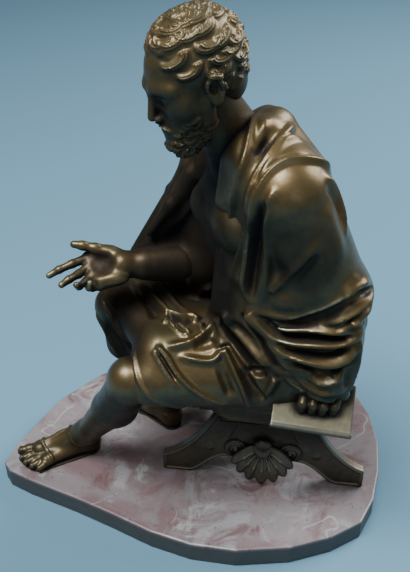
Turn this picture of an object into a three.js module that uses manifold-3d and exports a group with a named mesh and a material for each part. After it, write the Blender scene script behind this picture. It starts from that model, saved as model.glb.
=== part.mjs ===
// A seated bronze man in a wrapped cloak, leaning forward on a scrolled stool, with one hand held out
// and the other on a sheet at his side, on a slab of pink marble.
// Units are millimetres, +Z is up, and the origin is on the underside of the slab, at its middle.
// The man faces -X, and his left side is towards -Y.
import * as THREE from "three";
import { mergeVertices } from "three/addons/utils/BufferGeometryUtils.js";
import Module from "manifold-3d";

const wasm = await Module();
wasm.setup();

const V = (x, y, z) => new THREE.Vector3(x, y, z);
const mix = (a, b, t) => a.clone().lerp(b, t);
const norm = (x, y, z) => Math.sqrt(x * x + y * y + z * z);

// Driving dimensions
const slabThickness = 16;
const slabTop = slabThickness;
const seatTop = 84;
const stoolNearSide = -30;
const stoolFarSide = 43;
const joinGap = 0.3;
const joinTolerance = 0.06;
const seat = { left: 6, right: 94, low: 76 };
const stoolMiddle = 51.2;
const footReach = 71;
const legTop = 32;
const legEndHeight = 31;
const archTop = 34.6;
const panelThickness = 6.5;
const scroll = { radius: 8.5, height: 44, spread: 19, relief: 3 };
const rosette = { radius: 3.6, height: 42, spread: 37 };
const palmette = { root: 51, length: 33, halfWidth: 6, lean: 0.2 };
const fieldStep = 1.8;
const figureTriangles = 6350;

// The skeleton: where the joints of the seated man lie
const joint = {
  pelvis: V(62, -8, 128),
  waist: V(57, -10, 165),
  chest: V(44, -17, 222),
  neck: V(26, -24, 272),
  leftShoulder: V(57, -54, 256),
  leftElbow: V(88, -50, 193),
  leftWrist: V(88, -62, 141),
  rightShoulder: V(6, 18, 247),
  rightElbow: V(6, 2, 175),
  rightWrist: V(-43, -19, 182),
  leftHip: V(64, -31, 126),
  leftKnee: V(-32, -60, 124),
  leftAnkle: V(-76, -24, 40),
  rightHip: V(53, 17, 126),
  rightKnee: V(-55, -2, 138),
  rightAnkle: V(-22, 18, 42),
};

// The head: its middle, and the way it faces, turned to the left side and bowed
const head = { centre: V(5.5, -42, 315.5), turn: 32, bow: 22, size: 1.0 };

// Blending two distances with a fillet of about k
const smoothMin = (a, b, k) => {
  const overlap = Math.max(k - Math.abs(a - b), 0);
  return overlap > 0 ? Math.min(a, b) - (overlap * overlap) / (4 * k) : Math.min(a, b);
};
const smoothMax = (a, b, k) => -smoothMin(-a, -b, k);

// A form is a distance function with the box that holds its surface.
const form = (box, distance) => ({ box, distance });

// A limb between two points, with a radius at each end
const limb = (a, b, ra, rb = ra) => {
  const ab = b.clone().sub(a);
  const length2 = Math.max(ab.lengthSq(), 1e-9);
  const box = new THREE.Box3()
    .union(new THREE.Box3(a.clone().subScalar(ra), a.clone().addScalar(ra)))
    .union(new THREE.Box3(b.clone().subScalar(rb), b.clone().addScalar(rb)));
  return form(box, (x, y, z) => {
    const px = x - a.x;
    const py = y - a.y;
    const pz = z - a.z;
    const t = Math.min(1, Math.max(0, (px * ab.x + py * ab.y + pz * ab.z) / length2));
    return norm(px - t * ab.x, py - t * ab.y, pz - t * ab.z) - ra - t * (rb - ra);
  });
};

// A chain of limbs through points given with their radii as [point, radius]
const chain = (links) => links.slice(1).map((link, i) => limb(links[i][0], link[0], links[i][1], link[1]));

// An egg: an ellipsoid with its own axes, given by a rotation
const egg = (centre, radii, turn = new THREE.Quaternion()) => {
  const back = turn.clone().invert();
  const reach = Math.max(radii.x, radii.y, radii.z);
  const box = new THREE.Box3(centre.clone().subScalar(reach), centre.clone().addScalar(reach));
  const e = new THREE.Matrix4().makeRotationFromQuaternion(back).elements;
  const { x: rx, y: ry, z: rz } = radii;
  return form(box, (x, y, z) => {
    const [px, py, pz] = [x - centre.x, y - centre.y, z - centre.z];
    const qx = (e[0] * px + e[4] * py + e[8] * pz) / rx;
    const qy = (e[1] * px + e[5] * py + e[9] * pz) / ry;
    const qz = (e[2] * px + e[6] * py + e[10] * pz) / rz;
    const k0 = norm(qx, qy, qz);
    const k1 = norm(qx / rx, qy / ry, qz / rz);
    return k1 < 1e-9 ? -Math.min(rx, ry, rz) : (k0 * (k0 - 1)) / k1;
  });
};

// A web of cloth: a triangle with a thickness
const web = (a, b, c, r) => {
  const triangle = new THREE.Triangle(a, b, c);
  const box = new THREE.Box3().setFromPoints([a, b, c]).expandByScalar(r);
  const p = V(0, 0, 0);
  const near = V(0, 0, 0);
  return form(box, (x, y, z) => {
    triangle.closestPointToPoint(p.set(x, y, z), near);
    return near.distanceTo(p) - r;
  });
};

// A box with rounded edges and its own axes
const block = (centre, half, r, turn = new THREE.Quaternion()) => {
  const back = turn.clone().invert();
  const reach = half.length() + r;
  const box = new THREE.Box3(centre.clone().subScalar(reach), centre.clone().addScalar(reach));
  const q = V(0, 0, 0);
  return form(box, (x, y, z) => {
    q.set(x - centre.x, y - centre.y, z - centre.z).applyQuaternion(back);
    const dx = Math.abs(q.x) - half.x;
    const dy = Math.abs(q.y) - half.y;
    const dz = Math.abs(q.z) - half.z;
    const outside = norm(Math.max(dx, 0), Math.max(dy, 0), Math.max(dz, 0));
    return outside + Math.min(Math.max(dx, dy, dz), 0) - r;
  });
};

// Clay: forms put on and cut away one after another, each with its own fillet
class Clay {
  strokes = [];
  put(k, ...forms) {
    for (const f of forms) this.strokes.push({ k, ...f, sign: 1 });
    return this;
  }
  cut(k, ...forms) {
    for (const f of forms) this.strokes.push({ k, ...f, sign: -1 });
    return this;
  }
  raise(fold) {
    this.strokes.push(fold);
    return this;
  }
  near(box) {
    return this.strokes
      .filter((s) => s.box.clone().expandByScalar(s.k + 2).intersectsBox(box))
      .map((s) => (s.within ? s.within(box) : s));
  }
  distance(x, y, z, strokes = this.strokes) {
    let d = 1e3;
    for (const s of strokes) {
      if (s.raised) {
        d -= s.raised(x, y, z);
        continue;
      }
      const e = s.distance(x, y, z);
      d = s.sign > 0 ? smoothMin(d, e, s.k) : smoothMax(d, -e, s.k);
    }
    return d;
  }
  // The way out of the clay at a point
  normal(p, e = 1.2) {
    return V(
      this.distance(p.x + e, p.y, p.z) - this.distance(p.x - e, p.y, p.z),
      this.distance(p.x, p.y + e, p.z) - this.distance(p.x, p.y - e, p.z),
      this.distance(p.x, p.y, p.z + e) - this.distance(p.x, p.y, p.z - e),
    ).normalize();
  }
  // A point moved onto the surface, or to a height over it, along the gradient
  settle(point, lift = 0) {
    const p = point.clone();
    for (let i = 0; i < 12; i++) {
      const d = this.distance(p.x, p.y, p.z);
      p.addScaledVector(this.normal(p, 0.4), (lift - d) * 0.8);
    }
    return p;
  }
}

// Layers of clay that lie on each other with a sharp edge between them
class Layers {
  constructor(seam, ...layers) {
    this.seam = seam;
    this.layers = layers;
  }
  near(box) {
    const close = this.layers.map((layer) => layer.near(box));
    return close.some((strokes) => strokes.some((s) => s.sign > 0)) ? close : [];
  }
  distance(x, y, z, close = this.layers.map((layer) => layer.strokes)) {
    return this.layers.reduce(
      (d, layer, i) => smoothMin(d, layer.distance(x, y, z, close[i]), this.seam),
      1e3,
    );
  }
}

// Every place in a row moved towards the middle of its neighbours
const smoothed = (places, passes) => {
  if (passes === 0) return places;
  const last = places.length - 1;
  const next = places.map((p, i) =>
    p.clone().multiplyScalar(2)
      .add(places[Math.max(i - 1, 0)])
      .add(places[Math.min(i + 1, last)])
      .multiplyScalar(0.25),
  );
  return smoothed(next, passes - 1);
};

// A smooth path through points that are settled on the clay, and its even steps from 0 to 1
const pathSpan = 5;
const pathOn = (clay, points) => {
  const path = new THREE.CatmullRomCurve3(points.map((p) => clay.settle(p)), false, "centripetal");
  const spans = Math.max(5, Math.round(path.getLength() / pathSpan));
  return { path, steps: Array.from({ length: spans + 1 }, (_, i) => i / spans) };
};

// A roll of clay sunk in the surface along a path: half of its width, and how far it stands out
const rollOn = (clay, points, halfWidth, height) => {
  const { path, steps } = pathOn(clay, points);
  const radius = (halfWidth ** 2 + height ** 2) / (2 * height);
  const thinEnd = 0.25;
  const sizes = steps.map((t) => Math.max(thinEnd, Math.max(0, Math.sin(Math.PI * t)) ** 0.6));
  const places = steps.map((t, i) => clay.settle(path.getPoint(t), (height - radius) * sizes[i]));
  const pieces = chain(smoothed(places, 2).map((p, i) => [p, radius * sizes[i]]));
  const box = pieces.reduce((all, piece) => all.union(piece.box), new THREE.Box3());
  return form(box, (x, y, z) => pieces.reduce((d, piece) => Math.min(d, piece.distance(x, y, z)), 1e3));
};

// A fold raised on the clay along a path, or a valley where its height is below 0. Its crest is round at
// sharp 0 and keen at sharp 1; ends are the shares of its length over which it rises and dies away, and taper
// is the share of its width that it loses on the way.
const foldDepth = 9;
const depthWeight = 0.2;
const softShare = 0.02;
const blunt = Math.sqrt(softShare);
const foldOn = (clay, points, halfWidth, height, { sharp = 0.5, ends = [0.3, 0.3], taper = 0 } = {}) => {
  const { path, steps } = pathOn(clay, points);
  const places = smoothed(steps.map((t) => clay.settle(path.getPoint(t))), 2);
  const normals = smoothed(places.map((p) => clay.normal(p)), 2).map((n) => n.normalize());
  const rises = steps.map((t) => {
    const rise = Math.min(1, t / ends[0], (1 - t) / ends[1]);
    return rise * rise * (3 - 2 * rise);
  });
  const widths = steps.map((t) => halfWidth * (1 - taper * t * t));
  const margin = Math.max(halfWidth, 6) + 1;
  const spans = places.slice(1).map((b, i) => {
    const a = places[i];
    const ab = b.clone().sub(a);
    const box = new THREE.Box3().setFromPoints([a, b]).expandByScalar(margin);
    const turn = normals[i + 1].clone().sub(normals[i]);
    const length2 = ab.lengthSq() + 1e-9;
    const n = normals[i];
    const rise = rises[i];
    const more = rises[i + 1] - rise;
    const width = widths[i];
    const wider = widths[i + 1] - width;
    return { box, a, ab, length2, n, turn, rise, more, width, wider };
  });
  const raisedBy = (close) => (x, y, z) => {
    let nearest = Infinity;
    let found = 0;
    for (const { a, ab, length2, n, turn, rise, more, width, wider } of close) {
      const px = x - a.x;
      const py = y - a.y;
      const pz = z - a.z;
      const t = Math.min(1, Math.max(0, (px * ab.x + py * ab.y + pz * ab.z) / length2));
      const rx = px - t * ab.x;
      const ry = py - t * ab.y;
      const rz = pz - t * ab.z;
      const out = rx * (n.x + t * turn.x) + ry * (n.y + t * turn.y) + rz * (n.z + t * turn.z);
      const flat2 = Math.max(rx * rx + ry * ry + rz * rz - out * out, 0);
      const cost = flat2 + depthWeight * out * out;
      if (cost >= nearest) continue;
      nearest = cost;
      const u2 = flat2 / (width + wider * t) ** 2;
      const soft = Math.max(0, 1 - u2) ** 2;
      const keen = Math.max(0, 1 - (Math.sqrt(u2 + softShare) - blunt) / (1.01 - blunt)) ** 1.8;
      const fade = Math.min(1, Math.max(0, 1.6 * (1 - Math.abs(out) / foldDepth)));
      found = (soft + (keen - soft) * sharp) * (rise + more * t) * fade;
    }
    return found * height;
  };
  const box = spans.reduce((all, span) => all.union(span.box), new THREE.Box3());
  const within = (other) => {
    const close = spans.filter((span) => span.box.intersectsBox(other));
    return { k: 0, sign: 0, box, raised: raisedBy(close) };
  };
  return { k: 0, sign: 0, box, within, raised: raisedBy(spans) };
};

// Locks that lie over each other, so that only the highest counts
const maneOf = (locks) => {
  const highest = (close) => (x, y, z) => close.reduce((h, lock) => Math.max(h, lock.raised(x, y, z)), 0);
  const box = locks.reduce((all, lock) => all.union(lock.box), new THREE.Box3());
  const within = (other) => {
    const close = locks.filter((lock) => lock.box.intersectsBox(other)).map((lock) => lock.within(other));
    return { k: 0, sign: 0, box, raised: highest(close) };
  };
  return { k: 0, sign: 0, box, within, raised: highest(locks) };
};

// Paths between two outer paths, for folds that run side by side
const between = (first, last, count) =>
  Array.from({ length: count }, (_, i) =>
    first.map((p, j) => p.clone().lerp(last[j], count > 1 ? i / (count - 1) : 0)),
  );

// A skin drawn round a field: each cell is cut into six tetrahedra, which always gives a closed surface
const tetrahedra = [
  [0, 1, 3, 7],
  [0, 3, 2, 7],
  [0, 2, 6, 7],
  [0, 6, 4, 7],
  [0, 4, 5, 7],
  [0, 5, 1, 7],
];

function skinOf(clay, step) {
  const bounds = clay.layers
    .flatMap((layer) => layer.strokes.filter((s) => s.sign > 0))
    .reduce((all, s) => all.union(s.box), new THREE.Box3())
    .expandByScalar(2 * step);
  const size = bounds.getSize(V(0, 0, 0));
  const blockCells = 4;
  const blocks = size.toArray().map((s) => Math.ceil(s / (step * blockCells)));
  const n = blocks.map((b) => b * blockCells + 1);
  const values = new Float32Array(n[0] * n[1] * n[2]).fill(10);
  const nodeAt = (i, j, k) => i + n[0] * (j + n[1] * k);
  const span = blockCells * step;
  const place = (i, axis) => bounds.min.getComponent(axis) + i * step;
  const active = [];
  for (let bk = 0; bk < blocks[2]; bk++)
    for (let bj = 0; bj < blocks[1]; bj++)
      for (let bi = 0; bi < blocks[0]; bi++) {
        const low = V(bi, bj, bk).multiplyScalar(span).add(bounds.min);
        const box = new THREE.Box3(low, low.clone().addScalar(span));
        const close = clay.near(box);
        if (!close.length) continue;
        const middle = box.getCenter(V(0, 0, 0));
        const d = clay.distance(middle.x, middle.y, middle.z, close);
        const far = Math.abs(d) > span * 1.6;
        if (!far) active.push([bi * blockCells, bj * blockCells, bk * blockCells]);
        for (let k = 0; k <= blockCells; k++)
          for (let j = 0; j <= blockCells; j++)
            for (let i = 0; i <= blockCells; i++) {
              const a = bi * blockCells + i;
              const b = bj * blockCells + j;
              const c = bk * blockCells + k;
              const node = nodeAt(a, b, c);
              if (far) {
                if (values[node] === 10) values[node] = Math.sign(d) * 5;
              } else {
                values[node] = clay.distance(place(a, 0), place(b, 1), place(c, 2), close);
              }
            }
      }

  const positions = [];
  const faces = [];
  const onEdge = new Map();
  const corner = (c) => [c & 1, (c >> 1) & 1, (c >> 2) & 1];
  const crossing = (cell, p, q) => {
    const [low, high] = p < q ? [p, q] : [q, p];
    const a = corner(low);
    const b = corner(high);
    const ia = a.map((s, axis) => cell[axis] + s);
    const ib = b.map((s, axis) => cell[axis] + s);
    const na = nodeAt(...ia);
    const key = na * 8 + (high ^ low);
    let index = onEdge.get(key);
    if (index === undefined) {
      const va = values[na];
      const vb = values[nodeAt(...ib)];
      const t = Math.min(0.92, Math.max(0.08, va / (va - vb)));
      index = positions.length / 3;
      for (let axis = 0; axis < 3; axis++)
        positions.push(place(ia[axis] + t * (ib[axis] - ia[axis]), axis));
      onEdge.set(key, index);
    }
    return index;
  };
  for (const block of active)
    for (let k = 0; k < blockCells; k++)
      for (let j = 0; j < blockCells; j++)
        for (let i = 0; i < blockCells; i++) {
          const cell = [block[0] + i, block[1] + j, block[2] + k];
          let inside = 0;
          for (let c = 0; c < 8; c++) {
            const [x, y, z] = corner(c);
            if (values[nodeAt(cell[0] + x, cell[1] + y, cell[2] + z)] < 0) inside |= 1 << c;
          }
          if (inside === 0 || inside === 255) continue;
          for (const t of tetrahedra) {
            const within = t.filter((c) => inside & (1 << c));
            const without = t.filter((c) => !(inside & (1 << c)));
            if (!within.length || !without.length) continue;
            const even = evenOrder(t, [...within, ...without]);
            const cut = (p, q) => crossing(cell, p, q);
            if (within.length === 1) {
              const [a] = within;
              const [b, c, d] = without;
              addFace(faces, [cut(a, b), cut(a, c), cut(a, d)], even);
            } else if (within.length === 3) {
              const [a, b, c] = within;
              const [d] = without;
              addFace(faces, [cut(a, d), cut(b, d), cut(c, d)], even);
            } else {
              const [a, b] = within;
              const [c, d] = without;
              const quad = [cut(a, c), cut(a, d), cut(b, d), cut(b, c)];
              addFace(faces, [quad[0], quad[1], quad[2]], even);
              addFace(faces, [quad[0], quad[2], quad[3]], even);
            }
          }
        }
  return { positions, faces };
}

const addFace = (faces, [a, b, c], keep) => faces.push(...(keep ? [a, b, c] : [a, c, b]));

// Whether a new order of four corners is an even swap of the old one
function evenOrder(from, to) {
  let swaps = 0;
  for (let i = 0; i < 4; i++)
    for (let j = i + 1; j < 4; j++) if (from.indexOf(to[i]) > from.indexOf(to[j])) swaps++;
  return swaps % 2 === 0;
}

// Fewer triangles for the same form: edges are folded up, the cheapest first, by how far the surface moves
function simplify({ positions, faces }, target) {
  const vertexCount = positions.length / 3;
  const p = Float64Array.from(positions);
  const f = Int32Array.from(faces);
  const faceCount = f.length / 3;
  const facesOf = Array.from({ length: vertexCount }, () => []);
  const quadric = new Float64Array(vertexCount * 10);
  const alive = new Uint8Array(faceCount).fill(1);
  const stamp = new Int32Array(vertexCount);

  const normalOf = (a, b, c) => {
    const ux = b[0] - a[0];
    const uy = b[1] - a[1];
    const uz = b[2] - a[2];
    const vx = c[0] - a[0];
    const vy = c[1] - a[1];
    const vz = c[2] - a[2];
    return [uy * vz - uz * vy, uz * vx - ux * vz, ux * vy - uy * vx];
  };
  const at = (v) => [p[3 * v], p[3 * v + 1], p[3 * v + 2]];

  for (let i = 0; i < faceCount; i++) {
    const [a, b, c] = f.subarray(3 * i, 3 * i + 3);
    facesOf[a].push(i);
    facesOf[b].push(i);
    facesOf[c].push(i);
    const m = normalOf(at(a), at(b), at(c));
    const twice = norm(...m) || 1e-12;
    const [x, y, z] = m.map((s) => s / twice);
    const d = -(x * p[3 * a] + y * p[3 * a + 1] + z * p[3 * a + 2]);
    const plane = [x * x, x * y, x * z, x * d, y * y, y * z, y * d, z * z, z * d, d * d];
    for (const v of [a, b, c]) for (let j = 0; j < 10; j++) quadric[10 * v + j] += plane[j] * twice;
  }

  const costAt = (x, y, z) =>
    q[0] * x * x + 2 * q[1] * x * y + 2 * q[2] * x * z + 2 * q[3] * x + q[4] * y * y +
    2 * q[5] * y * z + 2 * q[6] * y + q[7] * z * z + 2 * q[8] * z + q[9];
  const q = new Float64Array(10);
  const best = (u, v) => {
    for (let j = 0; j < 10; j++) q[j] = quadric[10 * u + j] + quadric[10 * v + j];
    const a = at(u);
    const b = at(v);
    const mid = [(a[0] + b[0]) / 2, (a[1] + b[1]) / 2, (a[2] + b[2]) / 2];
    const length = norm(a[0] - b[0], a[1] - b[1], a[2] - b[2]);
    const [c0, c1, c2] = [q[4] * q[7] - q[5] * q[5], q[2] * q[5] - q[1] * q[7], q[1] * q[5] - q[2] * q[4]];
    const det = q[0] * c0 + q[1] * c1 + q[2] * c2;
    const choices = [mid, a, b];
    const scale = (q[0] + q[4] + q[7]) ** 3;
    if (Math.abs(det) > 1e-4 * scale) {
      const c11 = q[0] * q[7] - q[2] * q[2];
      const c12 = q[1] * q[2] - q[0] * q[5];
      const c22 = q[0] * q[4] - q[1] * q[1];
      const solved = [
        -(c0 * q[3] + c1 * q[6] + c2 * q[8]) / det,
        -(c1 * q[3] + c11 * q[6] + c12 * q[8]) / det,
        -(c2 * q[3] + c12 * q[6] + c22 * q[8]) / det,
      ];
      if (norm(solved[0] - mid[0], solved[1] - mid[1], solved[2] - mid[2]) < 1.5 * length)
        choices.unshift(solved);
    }
    let chosen = null;
    let cost = Infinity;
    for (const c of choices) {
      const e = costAt(...c);
      if (e < cost) [chosen, cost] = [c, e];
    }
    return { to: chosen, cost: Math.max(cost, 0) + 1e-3 * length * length };
  };

  // The edges to fold wait in a heap of indices, with the cheapest on top.
  const room = faceCount * 6;
  const costs = new Float64Array(room);
  const ends = new Int32Array(4 * room);
  const places = new Float32Array(3 * room);
  const heap = new Int32Array(room);
  let waiting = 0;
  let offered = 0;
  const offer = (u, v) => {
    const { to, cost } = best(u, v);
    costs[offered] = cost;
    ends.set([u, v, stamp[u], stamp[v]], 4 * offered);
    places.set(to, 3 * offered);
    let i = waiting++;
    while (i > 0) {
      const up = (i - 1) >> 1;
      if (costs[heap[up]] <= cost) break;
      heap[i] = heap[up];
      i = up;
    }
    heap[i] = offered++;
  };
  const pop = () => {
    const top = heap[0];
    const moved = heap[--waiting];
    const cost = costs[moved];
    let i = 0;
    for (;;) {
      let child = 2 * i + 1;
      if (child >= waiting) break;
      if (child + 1 < waiting && costs[heap[child + 1]] < costs[heap[child]]) child++;
      if (costs[heap[child]] >= cost) break;
      heap[i] = heap[child];
      i = child;
    }
    heap[i] = moved;
    return top;
  };
  const neighbours = (v) => {
    const all = new Set();
    for (const i of facesOf[v]) for (let j = 0; j < 3; j++) if (f[3 * i + j] !== v) all.add(f[3 * i + j]);
    return all;
  };
  for (let i = 0; i < faceCount; i++)
    for (let j = 0; j < 3; j++) {
      const u = f[3 * i + j];
      const v = f[3 * i + ((j + 1) % 3)];
      if (u < v) offer(u, v);
    }

  // Every face that stays must keep its side up and a fair shape.
  const staysSound = (v, other, to) => {
    for (const i of facesOf[v]) {
      const corners = [f[3 * i], f[3 * i + 1], f[3 * i + 2]];
      if (corners.includes(other)) continue;
      const before = normalOf(...corners.map(at));
      const moved = corners.map((c) => (c === v ? to : at(c)));
      const after = normalOf(...moved);
      const dot = before[0] * after[0] + before[1] * after[1] + before[2] * after[2];
      const size = norm(...after);
      if (dot < 0.25 * norm(...before) * size || size < 0.02) return false;
      let longest = 0;
      for (let j = 0; j < 3; j++) {
        const [a, b] = [moved[j], moved[(j + 1) % 3]];
        longest = Math.max(longest, (a[0] - b[0]) ** 2 + (a[1] - b[1]) ** 2 + (a[2] - b[2]) ** 2);
      }
      if (size < 0.06 * longest) return false;
    }
    return true;
  };

  let count = faceCount;
  while (count > target && waiting) {
    const edge = pop();
    const [u, v, su, sv] = ends.subarray(4 * edge, 4 * edge + 4);
    const to = Array.from(places.subarray(3 * edge, 3 * edge + 3));
    if (stamp[u] !== su || stamp[v] !== sv || !facesOf[u].length || !facesOf[v].length) continue;
    const nu = neighbours(u);
    let shared = 0;
    for (const w of neighbours(v)) if (nu.has(w)) shared++;
    if (shared !== 2 || !staysSound(u, v, to) || !staysSound(v, u, to)) continue;
    p.set(to, 3 * u);
    for (let j = 0; j < 10; j++) quadric[10 * u + j] += quadric[10 * v + j];
    for (const i of facesOf[v]) {
      const corners = f.subarray(3 * i, 3 * i + 3);
      if (corners.includes(u)) {
        alive[i] = 0;
        count--;
        for (const w of corners) if (w !== v) facesOf[w] = facesOf[w].filter((g) => g !== i);
      } else {
        corners[corners.indexOf(v)] = u;
        facesOf[u].push(i);
      }
    }
    facesOf[v] = [];
    stamp[v]++;
    stamp[u]++;
    for (const w of neighbours(u)) offer(u, w);
  }

  const index = new Map();
  const kept = { positions: [], faces: [] };
  for (let i = 0; i < faceCount; i++) {
    if (!alive[i]) continue;
    for (let j = 0; j < 3; j++) {
      const v = f[3 * i + j];
      if (!index.has(v)) {
        index.set(v, index.size);
        kept.positions.push(...at(v));
      }
      kept.faces.push(index.get(v));
    }
  }
  return kept;
}

// Solids for cutting and joining
const solidOf = ({ positions, faces }) =>
  new wasm.Manifold(
    new wasm.Mesh({
      numProp: 3,
      vertProperties: Float32Array.from(positions),
      triVerts: Uint32Array.from(faces),
    }),
  );
const solidOfGeometry = (geometry) => {
  const bare = geometry.clone();
  for (const name of Object.keys(bare.attributes)) if (name !== "position") bare.deleteAttribute(name);
  const merged = mergeVertices(bare, 1e-4);
  return solidOf({ positions: merged.attributes.position.array, faces: merged.index.array });
};
const geometryOf = (solid) => {
  const mesh = solid.getMesh();
  const geometry = new THREE.BufferGeometry();
  geometry.setAttribute("position", new THREE.Float32BufferAttribute(mesh.vertProperties, 3));
  geometry.setIndex(Array.from(mesh.triVerts));
  return geometry;
};
const boxSolid = (low, high) => {
  const size = high.clone().sub(low);
  const middle = low.clone().add(high).multiplyScalar(0.5);
  return solidOfGeometry(new THREE.BoxGeometry(size.x, size.y, size.z).translate(...middle.toArray()));
};

// A frame for small parts: an origin and three directions, in which points are given as (forward, side, up)
const frameOf = (origin, forward, up, scale = 1) => {
  const f = forward.clone().normalize();
  const side = up.clone().cross(f).normalize();
  const top = f.clone().cross(side);
  const turn = new THREE.Quaternion().setFromRotationMatrix(new THREE.Matrix4().makeBasis(f, side, top));
  const point = (a, b, c) => V(a, b, c).multiplyScalar(scale).applyQuaternion(turn).add(origin);
  return { point, turn, scale };
};

// The skin: chest, neck, forearm, hands, lower legs and feet
const skin = new Clay();
const chestFrame = frameOf(V(40, -22, 224), V(-0.84, -0.55, -0.12), V(0, 0, 1));
const { point: onChest } = chestFrame;
skin
  .put(0, egg(chestFrame.point(0, 0, 0), V(32, 40, 50), chestFrame.turn))
  .put(6, limb(joint.pelvis, joint.waist, 34, 31))
  .put(6, egg(onChest(22, 15, 8), V(11, 15, 13), chestFrame.turn))
  .put(6, egg(onChest(22, -15, 8), V(11, 15, 13), chestFrame.turn))
  .put(5, limb(joint.neck, V(12, -38, 300), 17, 15))
  .put(7, limb(onChest(18, 3, 38), onChest(4, 30, 44), 3.5, 5))
  .put(7, limb(onChest(18, -3, 38), onChest(4, -30, 44), 3.5, 5));

// Right forearm and open hand, palm up
const palm = frameOf(joint.rightWrist, V(-0.97, -0.2, -0.02), V(0, -0.5, 0.87));
const onPalm = (a, b, c) => palm.point(a, b, c);
const alongForearm = (t) => mix(joint.rightElbow, joint.rightWrist, t);
skin
  .put(0, limb(joint.rightElbow, joint.rightWrist, 13, 8))
  .put(5, limb(alongForearm(0.3), alongForearm(0.7), 12.5, 9.5))
  .put(4, limb(joint.rightWrist, onPalm(5, 2, 0), 7.8, 6.5));

// A finger: its root in the hand's frame, its spread, and the length and rise of each bone
const finger = (on, [a, b, c], spread, bones, radius) => {
  const links = [[on(a, b, c), radius * 1.08]];
  let at = [a, b, c];
  const way = (spread * Math.PI) / 180;
  bones.forEach(([length, rise], i) => {
    const lift = (rise * Math.PI) / 180;
    at = [
      at[0] + length * Math.cos(lift) * Math.cos(way),
      at[1] + length * Math.cos(lift) * Math.sin(way),
      at[2] + length * Math.sin(lift),
    ];
    links.push([on(...at), radius * (1 - 0.09 * (i + 1))]);
  });
  return chain(links);
};
const fingerRadius = 2.7;
skin
  .put(5, web(onPalm(3, -3, 0), onPalm(21, -7, -1), onPalm(15, 11, -1), 4.2))
  .put(4, web(onPalm(3, 8, 0), onPalm(3, -3, 0), onPalm(14, 12, -1), 4.2))
  .put(3, egg(onPalm(9, -7, 3), V(9, 5, 4.6), palm.turn), egg(onPalm(6, 10.5, 1), V(10, 4.4, 4.6), palm.turn))
  .cut(4, egg(onPalm(13, 2, 7), V(7.5, 6.5, 4.2), palm.turn))
  .put(1.6, ...finger(onPalm, [19, -7, 0], 24, [[13, 6], [9, 0], [7, -12]], fingerRadius))
  .put(1.6, ...finger(onPalm, [19, -2, -1], 42, [[11, 8], [8, 22], [6, 10]], fingerRadius))
  .put(1.6, ...finger(onPalm, [18, 4, -1], 55, [[9, 10], [7, 35], [5.5, 70]], fingerRadius * 0.96))
  .put(1.6, ...finger(onPalm, [14, 9.5, -1], 52, [[7.5, 10], [5.5, 60], [4.5, 110]], fingerRadius * 0.88))
  .put(2, ...finger(onPalm, [7, -8, 3], -12, [[9.5, 22], [8.5, 18], [6.5, 12]], fingerRadius * 1.12));

// Left hand, closed over a sheet
const sheetFrame = frameOf(V(80, -75, 108), V(1, 0, -0.09), V(0.06, -0.68, 0.73));
const onSheet = (a, b, c) => sheetFrame.point(a, b, c);
const sheetHalfLength = 24;
const sheetWidth = 31;
skin
  .put(0, limb(joint.leftElbow, joint.leftWrist, 13, 8))
  .put(3, web(onSheet(-4, 23, 7), onSheet(12, 23, 6.5), V(86, -60, 146), 5))
  .put(0.8, ...[0, 1, 2, 3].flatMap((i) => {
    const a = -7.2 + 6.3 * i;
    const short = i === 3 ? 1.2 : 0;
    return chain([
      [onSheet(a + 0.6, 21.5, 8), 3.3],
      [onSheet(a, 15.2 + short, 8.4), 3.1],
      [onSheet(a - 0.2, 12.6 + short, 3.4), 2.8],
    ]);
  }));

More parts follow.
